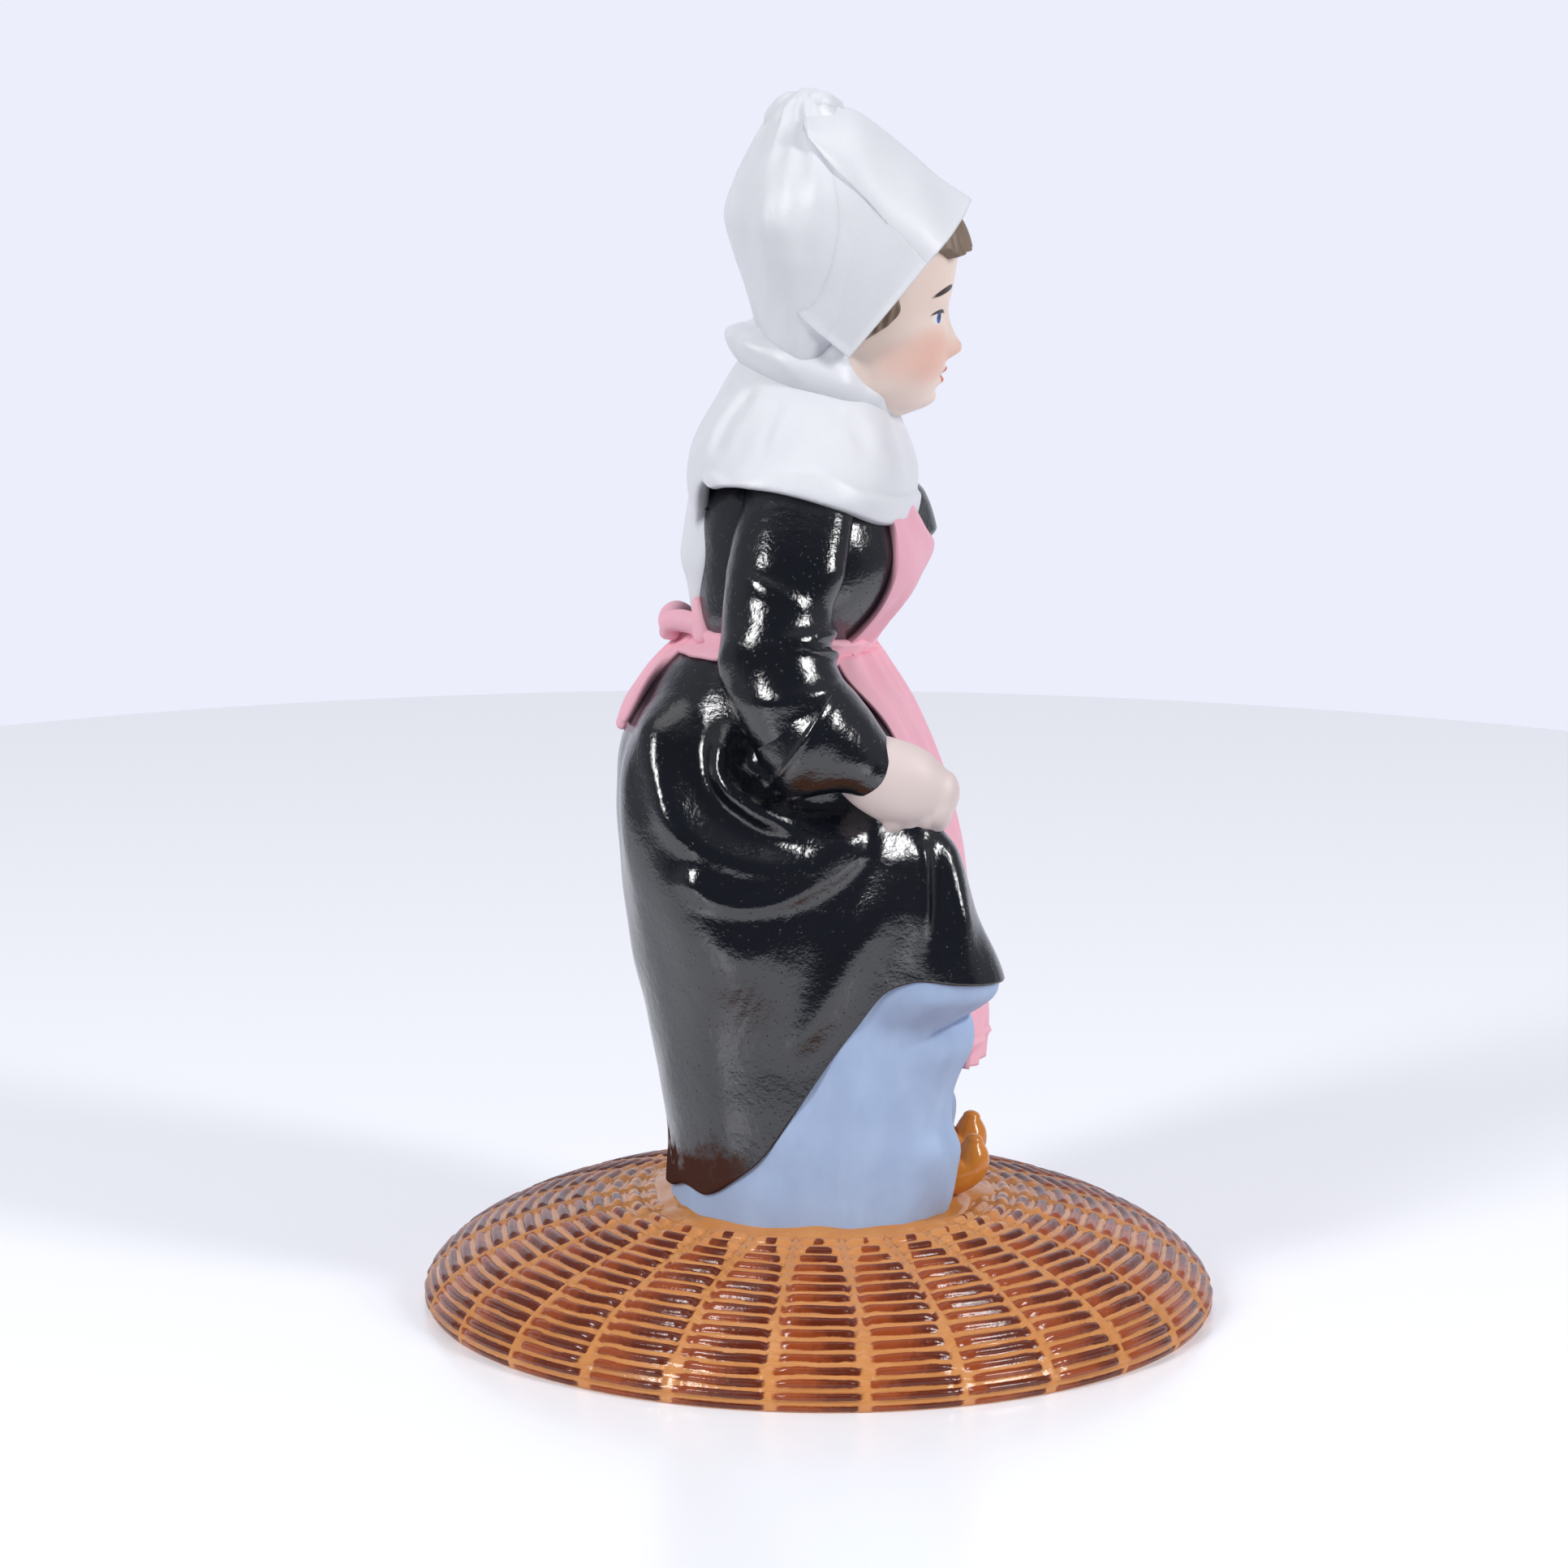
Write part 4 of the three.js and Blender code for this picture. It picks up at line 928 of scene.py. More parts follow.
def overskirt_hem(angle):
    """Height of the hem at each angle round the skirt."""
    z = np.full(angle.shape, 26.0)
    for _ in range(24):
        reach = skirt_reach(angle, z, False)
        x = skirt.centre(z) + reach * np.cos(angle)
        y = np.abs(reach * np.sin(angle))
        side = hem_line(x)
        front = FRONT_HEM_Z + (side - FRONT_HEM_Z) * step(y, OPEN_HALF - 1.2, OPEN_HALF + 1.6)
        z = 0.5 * z + 0.5 * np.where(x > 0, front, side)
    return z


def overskirt():
    angle = full_turn(420)
    hem = overskirt_hem(angle)
    share = np.linspace(0, 1, 150)[:, None] ** 1.05
    z = hem + (WAIST_Z - hem) * share
    wide = np.broadcast_to(angle, z.shape)
    folded = step(z, hem + HEM_PLAIN, hem + HEM_FOLDED)
    reach = between(skirt_reach(wide, z, False), skirt_reach(wide, z), folded)
    outer = around(skirt.centre(z), reach, wide, z)
    outer = outer + 0.12 * unevenness(outer, 9, 5)[..., None] * outwards(wide)

    def under(level, inset):
        return around(skirt.centre(level), skirt_reach(angle, level, False) - inset, angle, level)

    roll = [under(hem + lift, inset) for inset, lift in HEM_ROLL]
    foot = hem + HEM_ROLL[-1][1]
    lining = [under(between(foot, WAIST_Z, up_share), SKIRT_WALL) for up_share in (0.3, 0.6, 0.9, 1.0)]
    return closed_loft("overskirt", np.concatenate([lining[::-1], roll[::-1], outer]))


hand_over(overskirt(), ["overskirt"], BLACK, 0.5)

# %% The petticoat
PETTICOAT_LOW, PETTICOAT_TOP = 10.5, 44.0
PETTICOAT_CREASES = (
    ([(4, 38), (3, 30), (5, 22), (4, 12)], 0.5, 2.6), ([(11, 38), (9.5, 28), (10.5, 18), (9, 12)], 0.6, 2.4),
    ([(14, 34), (12.4, 24), (14, 12)], 0.5, 1.6), ([(-3, 25), (-4, 17), (-6, 12)], 0.4, 2.4),
)
lining_drop = flow([
    (10, 0), (26, 0), (31, 0.4), (33, 0.9), (35, 2.4), (36.6, 5.0), (38, 6.8), (40, 7.8), (44, 7.8),
])
petticoat_edge = flow([
    (10, -0.8), (14.5, 1.0), (17, 1.7), (20, 2.1), (22.4, 1.0), (25, 0.9), (28.5, 1.7), (31.3, 2.8),
    (34, 2.9), (36, 2.3), (44, 2.6),
])


def petticoat():
    wide, z = turn_and_height(360, 110, PETTICOAT_LOW, PETTICOAT_TOP)
    bulge = lining_drop(z) * swag_share(wide, np.maximum(z, 33))
    edge = petticoat_edge(z) * bell(np.degrees(np.abs(wide)) - 36, 15)
    reach = skirt.reach(wide, z) - 0.6 + np.maximum(bulge, edge)
    x = skirt.centre(z) + reach * np.cos(wide)
    y = reach * np.sin(wide)
    creases = np.zeros(z.shape)
    for way, height, width in PETTICOAT_CREASES:
        creases += height * bell(side_distance(x, z, way)[0], width)
    reach = reach + creases * step(np.abs(y), 6, 12)
    opening = step(np.degrees(np.abs(wide)), 33.5, 25.0) * step(z, 37.5, 35.0)
    deep = (7.0 - skirt.centre(z)) / np.cos(np.clip(wide, -1.2, 1.2))
    reach = reach * (1 - opening) + deep * opening
    covered = z > overskirt_hem(wide[0]) + 0.2
    reach = np.where(covered, np.minimum(reach, skirt_reach(wide, z) - 0.7), reach)
    grid = around(skirt.centre(z), reach, wide, z)
    grid = grid + 0.08 * unevenness(grid, 6, 9)[..., None] * outwards(wide)
    return closed_loft("petticoat", grid)


hand_over(petticoat(), ["petticoat"], BLUE, 0.3)

# %% [markdown]
# ## Feet
# Under the hem in front stand two legs in white stockings, in wooden clogs with turned-up toes.

# %% Clogs and stockings
RIGHT, LEFT = -1, 1
SIDE_WORD = {RIGHT: "right", LEFT: "left"}
SOLE_Z = 13.4


def mirrored(points, side):
    """The same points on the figure's right or left; forms are drawn on the left."""
    return points * np.array([1, side, 1])


def clog(side):
    path = [(7.2, 4.6, 15.6), (11.2, 4.6, 15.8), (14.6, 5.0, 15.8), (16.5, 5.1, 16.6), (17.0, 5.2, 19.3)]
    girth = flow([(0, 1.9), (0.1, 2.7), (0.35, 2.95), (0.6, 2.8), (0.78, 2.2), (0.92, 1.6), (1, 1.0)])
    rings = tube(path, girth, 40, 50)
    rings[..., 2] = np.maximum(rings[..., 2], SOLE_Z)
    return closed_loft(f"clog_{SIDE_WORD[side]}", mirrored(rings, side))


def stocking(side):
    path = [(11.9, 4.6, 14), (11.7, 4.6, 18), (11.2, 4.6, 26), (10.9, 4.6, 36)]
    girth = flow([(0, 2.9), (0.2, 2.2), (0.45, 2.5), (0.75, 3.1), (1, 3.2)])
    rings = tube(path, girth, 40, 50)
    return closed_loft(f"stocking_{SIDE_WORD[side]}", mirrored(rings, side))


for side, word in SIDE_WORD.items():
    hand_over(clog(side), [f"clog_{word}"], CLOG)
    hand_over(stocking(side), [f"stocking_{word}"], WHITE)

# %% [markdown]
# ## The apron
# A gathered panel hangs from a waistband in front, with a bib above it, and the strings are tied in a bow
# at the back. The gathers start as many small pleats at the band and open into a few soft folds.

# %% The apron's panel, band and bib
APRON_HEM_Z = 28.4
APRON_TOP_Z = 73.8
apron_half = flow([(27, 8.8), (40, 9.4), (55, 10.6), (66, 11.0), (72, 10.8), (75, 9.0)])
apron_flare = flow([(27, 1.1), (33, 0.8), (45, 0.5), (75, 0.3)])
TORSO_TURN = math.radians(-7)
TORSO_CENTRE = -3.5
WAIST_DIP = 1.3


def angle_at(form, y, z):
    """The angle round a form at which its surface stands at the sideways place y."""
    angle = np.zeros(np.broadcast(y, z).shape)
    for _ in range(30):
        angle = 0.5 * angle + 0.5 * np.arcsin(np.clip(y / form.reach(angle, z), -0.97, 0.97))
    return angle


def apron_panel():
    cols, rows = 160, 150
    across = np.linspace(-1, 1, cols)[None, :]
    z = np.linspace(APRON_HEM_Z, APRON_TOP_Z, rows)[:, None] * np.ones(cols)
    z = z - 0.8 * (1 - across ** 2) * step(z, 40, 27)
    angle = angle_at(skirt, across * apron_half(z), z)
    reach = skirt.reach(angle, z) + apron_flare(z)
    fan = across * (1 + 0.06 * np.sin(z * 0.25))
    pleat = 0.34 * np.sin(fan * 21 + 0.5) * step(z, 52, 72) + 0.42 * np.sin(fan * 10 + 1.0) * step(z, 74, 58)
    wave = 0.5 * np.sin(across * 5 + z * 0.07)
    outer_reach = reach + 0.5 + pleat + wave * step(z, 60, 35) + 0.35 * bell(z - APRON_HEM_Z - 2.2, 0.35)
    front, back = (around(skirt.centre(z), out, angle, z) for out in (outer_reach, reach - 0.6))
    return slab("apron_panel", front, back)


def turn_chest(points):
    """Turns points about the chest's upright line."""
    c, s = math.cos(TORSO_TURN), math.sin(TORSO_TURN)
    x = points[..., 0] - TORSO_CENTRE
    y = points[..., 1]
    return np.stack([TORSO_CENTRE + c * x - s * y, s * x + c * y, points[..., 2]], axis=-1)


def dip_front(points):
    """Lowers the waist a little towards the front."""
    lowered = points.copy()
    lowered[..., 2] -= WAIST_DIP * step(points[..., 0], -4, 6) * bell(points[..., 2] - WAIST_Z, 5)
    return lowered


bodice_form = Sections([
    (74.5, -13.8, 4.0, 10.0), (76.0, -13.9, 4.8, 12.4), (77.4, -13.9, 6.0, 14.0), (80.1, -14.0, 8.7, 15.0),
    (84, -14.0, 10.7, 15.2), (88, -13.9, 10.3, 14.8), (91.2, -13.6, 8.9, 13.6), (94, -12.0, 6.8, 11.0),
    (96.5, -9.6, 4.6, 8.0),
], 2.1)


BAND_SECTION = ((-1.5, -0.6), (-1.45, 0.5), (-1.0, 1.05), (0, 1.25), (0.9, 1.0), (1.4, 0.4), (1.5, -0.8))
BIB_LOW, BIB_TOP = 75.4, 90.5


def waistband():
    angle = full_turn(240)
    rows = []
    for lift, out in BAND_SECTION:
        form = skirt if lift < 0 else bodice_form
        ripple = 0.12 * np.sin(angle * 23) * (out > 0.3)
        rows.append(form.points(angle, np.full(len(angle), WAIST_Z + lift), out + ripple))
    return closed_loft("apron_waistband", dip_front(np.array(rows)))


def bib():
    cols, rows = 90, 90
    across = np.linspace(-1, 1, cols)[None, :]
    z = np.linspace(BIB_LOW, BIB_TOP, rows)[:, None] * np.ones(cols)
    near = flow([(75, 7.4), (79, 8.4), (84, 9.2), (91, 8.6)])(z)
    far = flow([(75, 7.4), (80, 7.6), (83, 5.4), (85, 2.0), (86.6, -1.6), (88.5, -3.2), (91, -3.8)])(z)
    angle = angle_at(bodice_form, -near + (near + far) * (across + 1) / 2, z)
    pleat = 0.3 * np.sin(across * 12 + 0.4) * step(z, 83, 77) + 0.2 * np.sin(across * 4 + z * 0.2)
    plates = [bodice_form.points(angle, z, out) for out in (0.9 + pleat, -0.3 + 0 * pleat)]
    return slab("apron_bib", dip_front(turn_chest(plates[0])), dip_front(turn_chest(plates[1])))


hand_over(apron_panel(), ["apron_panel"], PINK, 0.2)
hand_over(waistband(), ["apron_waistband"], PINK, 0.2)
hand_over(bib(), ["apron_bib"], PINK, 0.2)

# %% The bow at the back
def apron_bow():
    forms = [
        tube([(-12.6, -6.6, 75.8), (-14.6, -5.6, 76.9), (-16.6, -3.8, 76.6), (-17.2, -2.6, 75.2)],
             flow([(0, 0.85), (0.35, 1.2), (0.75, 1.1), (1, 0.8)]), 32, 30, thin=(0, 0, 1)),
        tube([(-12.8, -6.8, 75.6), (-13.2, -6.6, 77.4), (-13.7, -6.2, 79.4)],
             flow([(0, 1.35), (0.5, 1.0), (1, 0.6)]), 32, 24),
        tube([(-16.6, -3.0, 75.4), (-16.8, -0.6, 76.2), (-16.2, 2.2, 76.6), (-14.6, 4.4, 76.0)],
             flow([(0, 1.0), (0.4, 1.4), (0.8, 1.3), (1, 0.8)]), 32, 30, thin=(0, 0, 1)),
    ]
    return fuse("apron_bow", [closed_loft("bow_part", form) for form in forms], 0.2, 6)


def bow_tail(side):
    near = side == RIGHT
    start, lean, length = (-3.4, -0.6, 9.0) if near else (-2.2, 1.2, 10.2)
    path = []
    for share in np.linspace(0, 1, 6):
        z = 75.2 - length * share
        away = 0.5 * (1 - share) * near - 0.45
        path.append((float(skirt.back(z)) + away, start + lean * share, z))
    width = flow([(0, 0.9), (0.3, 1.2), (0.8, 1.45), (1, 1.0)])
    rings = tube(path, width, 40, 50, thin=(1, 0, 0.6), flatness=lambda s: 0.55 + 0 * s,
                 relief=lambda s, a: 0.18 * np.cos(2 * a + 9 * s))
    return closed_loft(f"apron_tail_{SIDE_WORD[side]}", rings)


hand_over(apron_bow(), ["apron_bow"], PINK, 0.2)
for side, word in SIDE_WORD.items():
    hand_over(bow_tail(side), [f"apron_tail_{word}"], PINK, 0.2)

# %% [markdown]
# ## Bodice, sleeves and hands
# The bodice is a tight black jacket. Each sleeve falls from under the shawl, bends at the elbow in a few
# heavy creases and ends in a turned-back cuff. The fists hold the skirt.

# %% The bodice and the sleeves
BODICE_LOW, BODICE_TOP = 74.4, 96.4
FAR_ARM_BACK = 4.6


def bodice():
    wide, z = turn_and_height(240, 90, BODICE_LOW, BODICE_TOP)
    far_breast = 1.5 * bell(wide - 0.24, 0.26) * step(z, 84.6, 86.6) * step(z, 93.5, 90.5)
    grid = bodice_form.points(wide, z, far_breast)
    return closed_loft("bodice", dip_front(turn_chest(grid)))


def arm_side(points, side):
    """Arm points on the figure's right or left; the far forearm is held further back."""
    placed = mirrored(points, side)
    if side == LEFT:
        placed[..., 0] -= FAR_ARM_BACK * step(placed[..., 2], 79, 64)
    return placed


# Each crease: its share of the way down the arm, its angle, height and width, its slant and its spread.
SLEEVE_CREASES = (
    (0.46, 1.2, 0.45, 0.035, 0.07, 0.9), (0.60, 2.6, 0.8, 0.035, -0.05, 1.0),
    (0.70, 2.9, 0.7, 0.03, 0.05, 0.9), (0.66, 0.6, 0.6, 0.05, -0.06, 0.8), (0.84, 1.7, 0.55, 0.04, 0.06, 1.0),
)


def sleeve(side):
    path = [(-3.0, 9.4, 93), (-3.6, 11.4, 89.5), (-4.5, 14.2, 84.5), (-5.0, 16.4, 79.2), (-4.9, 17.8, 74.4),
            (-3.2, 18.6, 70.0), (-0.6, 18.8, 67.0)]
    girth = flow([(0, 5.2), (0.2, 5.6), (0.45, 5.8), (0.65, 5.9), (0.82, 6.1), (1, 5.9)])

    def creases(share, angle):
        ridge = 0.0
        for at, where, height, width, slant, spread in SLEEVE_CREASES:
            turned = turned_from(angle, where)
            ridge = ridge + height * bell(share - at - slant * turned, width) * bell(turned, spread)
        return ridge + 2.0 * bell(turned_from(angle, 2.5), 0.5) * step(share, 0.55, 0.35)

    rings = tube(path, girth, 96, 150, flatness=flow([(0, 0.8), (0.4, 0.88), (1, 0.95)]), relief=creases)
    return closed_loft(f"sleeve_{SIDE_WORD[side]}", arm_side(rings, side))


def cuff(side):
    path = [(-2.4, 18.8, 67.9), (0.2, 18.8, 66.2), (2.4, 18.7, 64.6), (4.4, 18.5, 63.2)]
    girth = flow([(0, 6.0), (0.1, 6.4), (0.5, 5.8), (0.85, 4.8), (1, 4.3)])

    def creases(share, angle):
        below = turned_from(angle, 0)
        flat = -0.35 * bell(turned_from(angle, 1.2), 0.5)
        edge = 0.3 * bell(share - 0.06, 0.05)
        pouch = 1.5 * bell(share - 0.4, 0.22) * bell(below + 0.1, 0.6)
        cut_back = 1.7 * step(share, 0.55, 0.95) * bell(below, 0.8)
        return pouch + flat + edge - cut_back

    rings = tube(path, girth, 120, 70, relief=creases)
    return closed_loft(f"cuff_{SIDE_WORD[side]}", arm_side(rings, side))


hand_over(bodice(), ["bodice"], BLACK)
for side, word in SIDE_WORD.items():
    hand_over(sleeve(side), [f"sleeve_{word}"], BLACK)
    hand_over(cuff(side), [f"cuff_{word}"], BLACK)

# %% The hands
def hand(side):
    palm_path = [(2.8, 18.6, 64.6), (5.8, 18.8, 62.9), (9.4, 18.6, 61.3), (12.1, 18.2, 60.3)]
    girth = flow([(0, 3.4), (0.35, 4.3), (0.75, 4.3), (1, 3.2)])
    forms = [tube(palm_path, girth, 40, 40, flatness=lambda s: 0.74 - 0.05 * s)]
    for finger in range(4):
        x = 12.2 - 1.5 * finger
        top = 60.6 - 0.2 * finger
        path = [(x, 18.4, top), (x + 0.1, 18.7, top - 1.8), (x, 18.2, top - 3.0)]
        forms.append(tube(path, flow([(0, 1.8), (0.6, 1.6), (1, 1.3)]), 24, 24))
    thumb = [(6.6, 16.4, 61.8), (8.8, 15.2, 59.8), (10.6, 15.2, 58.2)]
    forms.append(tube(thumb, flow([(0, 1.7), (0.6, 1.5), (1, 1.1)]), 24, 24))
    parts = [closed_loft("hand_part", arm_side(form, side)) for form in forms]
    return fuse(f"hand_{SIDE_WORD[side]}", parts, 0.22, 7)


for side, word in SIDE_WORD.items():
    hand_over(hand(side), [f"hand_{word}"], SKIN)

# %% [markdown]
# ## The shawl
# A white kerchief lies round the shoulders. Its hem is turned over into a border, it crosses low in front,
# and its back corner hangs down to the bow.

# %% The shawl
shawl_form = Sections([
    (80, -14.6, 9.4, 15.0), (84, -14.4, 9.4, 15.2), (87.3, -14.3, 9.6, 15.8), (89.3, -14.5, 9.9, 16.2),
    (91.7, -14.9, 9.9, 16.5), (94.6, -14.9, 9.4, 15.4), (97.3, -13.9, 8.4, 13.0), (100, -12.4, 7.2, 10.6),
    (102.5, -11.0, 5.8, 8.6), (105, -9.4, 4.4, 6.8),
], 2.3)
shawl_hem = flow([
    (-30, 82), (-14.2, 83), (-13.4, 86), (-12.5, 91.6), (-10.5, 92.6), (-5, 92.9), (0, 92.0), (4, 90.6),
    (8, 88.6), (12, 87.6), (30, 87.6),
])
border_top = flow([
    (-30, 82.5), (-13.2, 88), (-12, 92.2), (-8.1, 93.4), (-3.1, 94.8), (0.9, 95.0), (3.8, 93.8), (6, 92.3),
    (12, 90),
])
SHAWL_TOP = 105
SHAWL_WALL = 2.2
SHAWL_ROLL = ((0.5, -0.35), (1.2, -0.35), (1.8, 0.2))
SHAWL_CREASES = (
    (((-8.6, 103.5), (-11.2, 100.2), (-13.0, 95.5)), 0.5),
    (((-6.4, 103.0), (-9.4, 99.0), (-11.0, 94.8)), 0.4),
    (((-3.0, 102.0), (-4.6, 98.6), (-5.4, 95.6)), 0.25),
    (((2.5, 101.0), (4.8, 98.0), (6.2, 95.2)), 0.3),
)
TAIL_LOW = 77.6
TAIL_LENGTH = 18.0


def shawl_cape():
    angle = full_turn(300)
    hem = np.full(len(angle), 91.0)
    for _ in range(40):
        x = shawl_form.centre(hem) + shawl_form.reach(angle, hem) * np.cos(angle)
        hem = 0.6 * hem + 0.4 * shawl_hem(x)
    z = hem + (SHAWL_TOP - hem) * np.linspace(0, 1, 80)[:, None]
    wide = np.broadcast_to(angle, z.shape)
    plain = shawl_form.points(wide, z)
    line = border_top(plain[..., 0])
    border = 0.5 * step(z, line + 0.35, line - 0.35) * step(plain[..., 0], -13.5, -11)
    drape = 0.3 * np.sin(7 * wide + 0.8 * np.sin(3 * wide)) * step(z, 104, 98) * step(z, line, line + 3)
    for way, depth in SHAWL_CREASES:
        gap, share = side_distance(plain[..., 0], z, way)
        fade = step(share, 0, 0.25) * step(share, 1, 0.7)
        drape = drape - depth * fade * (bell(gap, 0.6) - 0.6 * bell(gap - 1.5, 0.9))
    outer = shawl_form.points(wide, z, border + drape)
    roll = [shawl_form.points(angle, hem + lift, -inset) for inset, lift in SHAWL_ROLL]
    lining = [shawl_form.points(angle, between(hem, SHAWL_TOP, s), -SHAWL_WALL) for s in (0.3, 0.65, 1.0)]
    return closed_loft("shawl_cape", turn_chest(np.concatenate([lining[::-1], roll[::-1], outer])))


def shawl_tail():
    share = np.linspace(0, 1, 50)[:, None]
    ring = np.linspace(0, 2 * np.pi, 64, endpoint=False)
    level = TAIL_LOW + TAIL_LENGTH * share * np.ones(len(ring))
    half = flow([(0, 1.0), (0.15, 2.4), (0.35, 5.0), (0.7, 6.6), (1, 6.6)])(share)
    bulge = flow([(0, 0.5), (0.2, 0.9), (0.33, 1.5), (0.5, 1.2), (0.75, 0.7), (1, 0.2)])(share)
    middle = flow([(0, -7.2), (0.15, -6.2), (0.35, -4.2), (0.6, -2.4), (1, -1.0)])(share)
    aside = middle + half * np.sin(ring)
    turn_angle = np.pi - np.arcsin(np.clip(aside / 13.5, -0.95, 0.95))
    reach = bodice_form.reach(turn_angle, level) - 0.6 + (bulge + 0.7) * np.cos(ring)
    return closed_loft("shawl_tail", turn_chest(around(bodice_form.centre(level), reach, turn_angle, level)))


def shawl():
    return fuse("shawl", [shawl_cape(), shawl_tail()], 0.28, 4)


hand_over(shawl(), ["shawl"], WHITE)

# %% [markdown]
# ## The head
# A calm child's face on usual proportions: the hairline, the brows, the base of the nose and the chin stand
# about a third of the face apart. It is painted as such figures are: thin brows, a dark lash line over a
# blue iris, a blushed cheek and small red lips. The paint is a set of masks on object coordinates, the same
# on both sides of the nose.

# %% The head's form
head_form = Sections([
    (98.9, 2.2, 8.2, 2.0), (100.0, -0.6, 10.6, 4.6), (101.6, -2.6, 11.8, 6.4), (104, -4.2, 12.6, 7.8),
    (107, -5.6, 13.0, 8.5), (110.4, -6.4, 13.0, 8.8), (113.7, -6.8, 13.7, 8.8), (117.5, -6.8, 13.9, 8.5),
    (121.5, -5.2, 11.8, 7.2), (124.6, -2, 8, 4.4),
], 2.15)
HEAD_LOW, HEAD_TOP = 98.9, 124.6
EYE_Y, EYE_Z = 3.5, 109.9
BROW_Z = 112.9
MOUTH_Z = 103.4


def head():
    wide, z = turn_and_height(320, 240, HEAD_LOW, HEAD_TOP)
    grid = head_form.points(wide, z)
    y = np.abs(grid[..., 1])
    face = step(np.cos(wide), 0.1, 0.5)
    nose_rise = flow([
        (104.6, 0), (105.2, 0.5), (105.9, 1.55), (106.5, 1.7), (107.6, 1.0), (109, 0.45), (111, 0.05),
    ])(z)
    out = nose_rise * bell(y, flow([(104.6, 1.3), (106.2, 1.15), (108, 0.85), (111, 0.8)])(z))
    out = out + 0.35 * bell(y - 1.0, 0.55) * bell(z - 105.7, 0.6)
    out = out + 0.5 * bell(y, 1.7) * (bell(z - MOUTH_Z - 0.62, 0.42) + 0.95 * bell(z - MOUTH_Z + 0.68, 0.5))
    out = out - 0.32 * bell(y, 1.9) * bell(z - MOUTH_Z, 0.24) - 0.3 * bell(y, 2.0) * bell(z - 102.0, 0.5)
    out = out + 0.5 * bell(y, 2.2) * bell(z - 100.6, 1.0)
    out = out - 0.75 * bell(y - EYE_Y, 1.7) * bell(z - EYE_Z, 1.15)
    out = out + 0.5 * bell(y - EYE_Y, 1.1) * bell(z - EYE_Z, 0.7)
    out = out + 0.3 * bell(y - 3.6, 2.4) * bell(z - 111.4, 0.8)
    out = out + 0.45 * bell(y - 5.2, 2.4) * bell(z - 105.2, 2.2)
    grid = grid + (out * face)[..., None] * np.stack([np.cos(wide), 0.3 * np.sin(wide), 0 * wide], -1)
    skull = closed_loft("skull", grid)
    neck_path = [(-2.5, 0, 92), (-1, 0, 97), (1.5, 0, 104)]
    neck = closed_loft("neck", tube(neck_path, lambda s: 5.2 + 0 * s, 64, 30))
    return fuse("head", [skull, neck], 0.175, 2)

# %% The painted face
def painted_face():
    material, tree, skin, place, hollow = start_finish("painted_face")
    part = node(tree, "ShaderNodeSeparateXYZ", {"Vector": place}).outputs
    aside = times(tree, calc(tree, "ABSOLUTE", part["Y"]), 1 / MM)
    high = times(tree, part["Z"], 1 / MM)
    front = ramp(tree, times(tree, part["X"], 1 / MM), 4.0, 7.0)

    def spot(y, z, half_wide, half_high, soft, bend=0.0, slope=0.0):
        """1 inside an oval at (y, z) that may slope, and bend up or down at its ends."""
        dy = minus(tree, aside, y)
        bow = times(tree, times(tree, dy, dy), bend)
        curve = plus(tree, bow, times(tree, dy, slope))
        dz = minus(tree, minus(tree, high, z), curve)
        wide_share = calc(tree, "ABSOLUTE", calc(tree, "DIVIDE", dy, half_wide))
        high_share = calc(tree, "ABSOLUTE", calc(tree, "DIVIDE", dz, half_high))
        far = plus(tree, calc(tree, "POWER", wide_share, 2.0), calc(tree, "POWER", high_share, 2.0))
        return times(tree, ramp(tree, far, 1 + soft, 1 - soft), front)

    cloud = grain(tree, place, 240, 3)
    colour = blend(tree, cloud, shade(244, 220, 208), shade(250, 230, 220))
    cheek = times(tree, spot(4.6, 105.9, 3.4, 2.8, 0.95), 0.42)
    nose_tip = times(tree, spot(0.0, 106.0, 1.4, 1.2, 0.8), 0.25)
    # Hollows of the face darkened with painted shade.
    creases = ramp(tree, hollow, 0.2, 1.0)
    eye_white = spot(EYE_Y, EYE_Z - 0.05, 1.35, 0.62, 0.25, -0.12)
    iris = spot(EYE_Y - 0.1, EYE_Z, 0.62, 0.66, 0.2)
    pupil = spot(EYE_Y - 0.1, EYE_Z + 0.05, 0.28, 0.30, 0.3)
    lashes = spot(EYE_Y + 0.1, EYE_Z + 0.66, 1.7, 0.22, 0.4, -0.10)
    brow = spot(EYE_Y + 0.1, BROW_Z, 2.1, 0.36, 0.4, -0.05, -0.2)
    upper_lip = spot(0.0, MOUTH_Z + 0.5, 1.9, 0.45, 0.4, -0.06)
    lower_lip = spot(0.0, MOUTH_Z - 0.55, 1.5, 0.5, 0.4, 0.10)
    mouth_line = spot(0.0, MOUTH_Z, 1.9, 0.13, 0.5)
    for mark, paint in (
        (cheek, shade(238, 150, 120)), (nose_tip, shade(235, 160, 140)), (creases, shade(222, 168, 150)),
        (eye_white, shade(240, 238, 238)), (iris, shade(70, 92, 160)), (pupil, shade(24, 26, 48)),
        (lashes, shade(52, 40, 40)), (brow, shade(58, 46, 44)), (upper_lip, shade(204, 92, 66)),
        (lower_lip, shade(214, 106, 80)), (mouth_line, shade(150, 56, 44)),
    ):
        colour = blend(tree, mark, colour, paint)
    tree.links.new(colour, skin.inputs["Base Color"])
    raise_surface(tree, skin, cloud, 0.02)
    skin.inputs["Roughness"].default_value = 0.45
    skin.inputs["Subsurface Weight"].default_value = 0.2
    skin.inputs["Subsurface Radius"].default_value = (1.0, 0.6, 0.5)
    skin.inputs["Subsurface Scale"].default_value = 0.8 * MM
    return material


hand_over(head(), ["head"], painted_face())

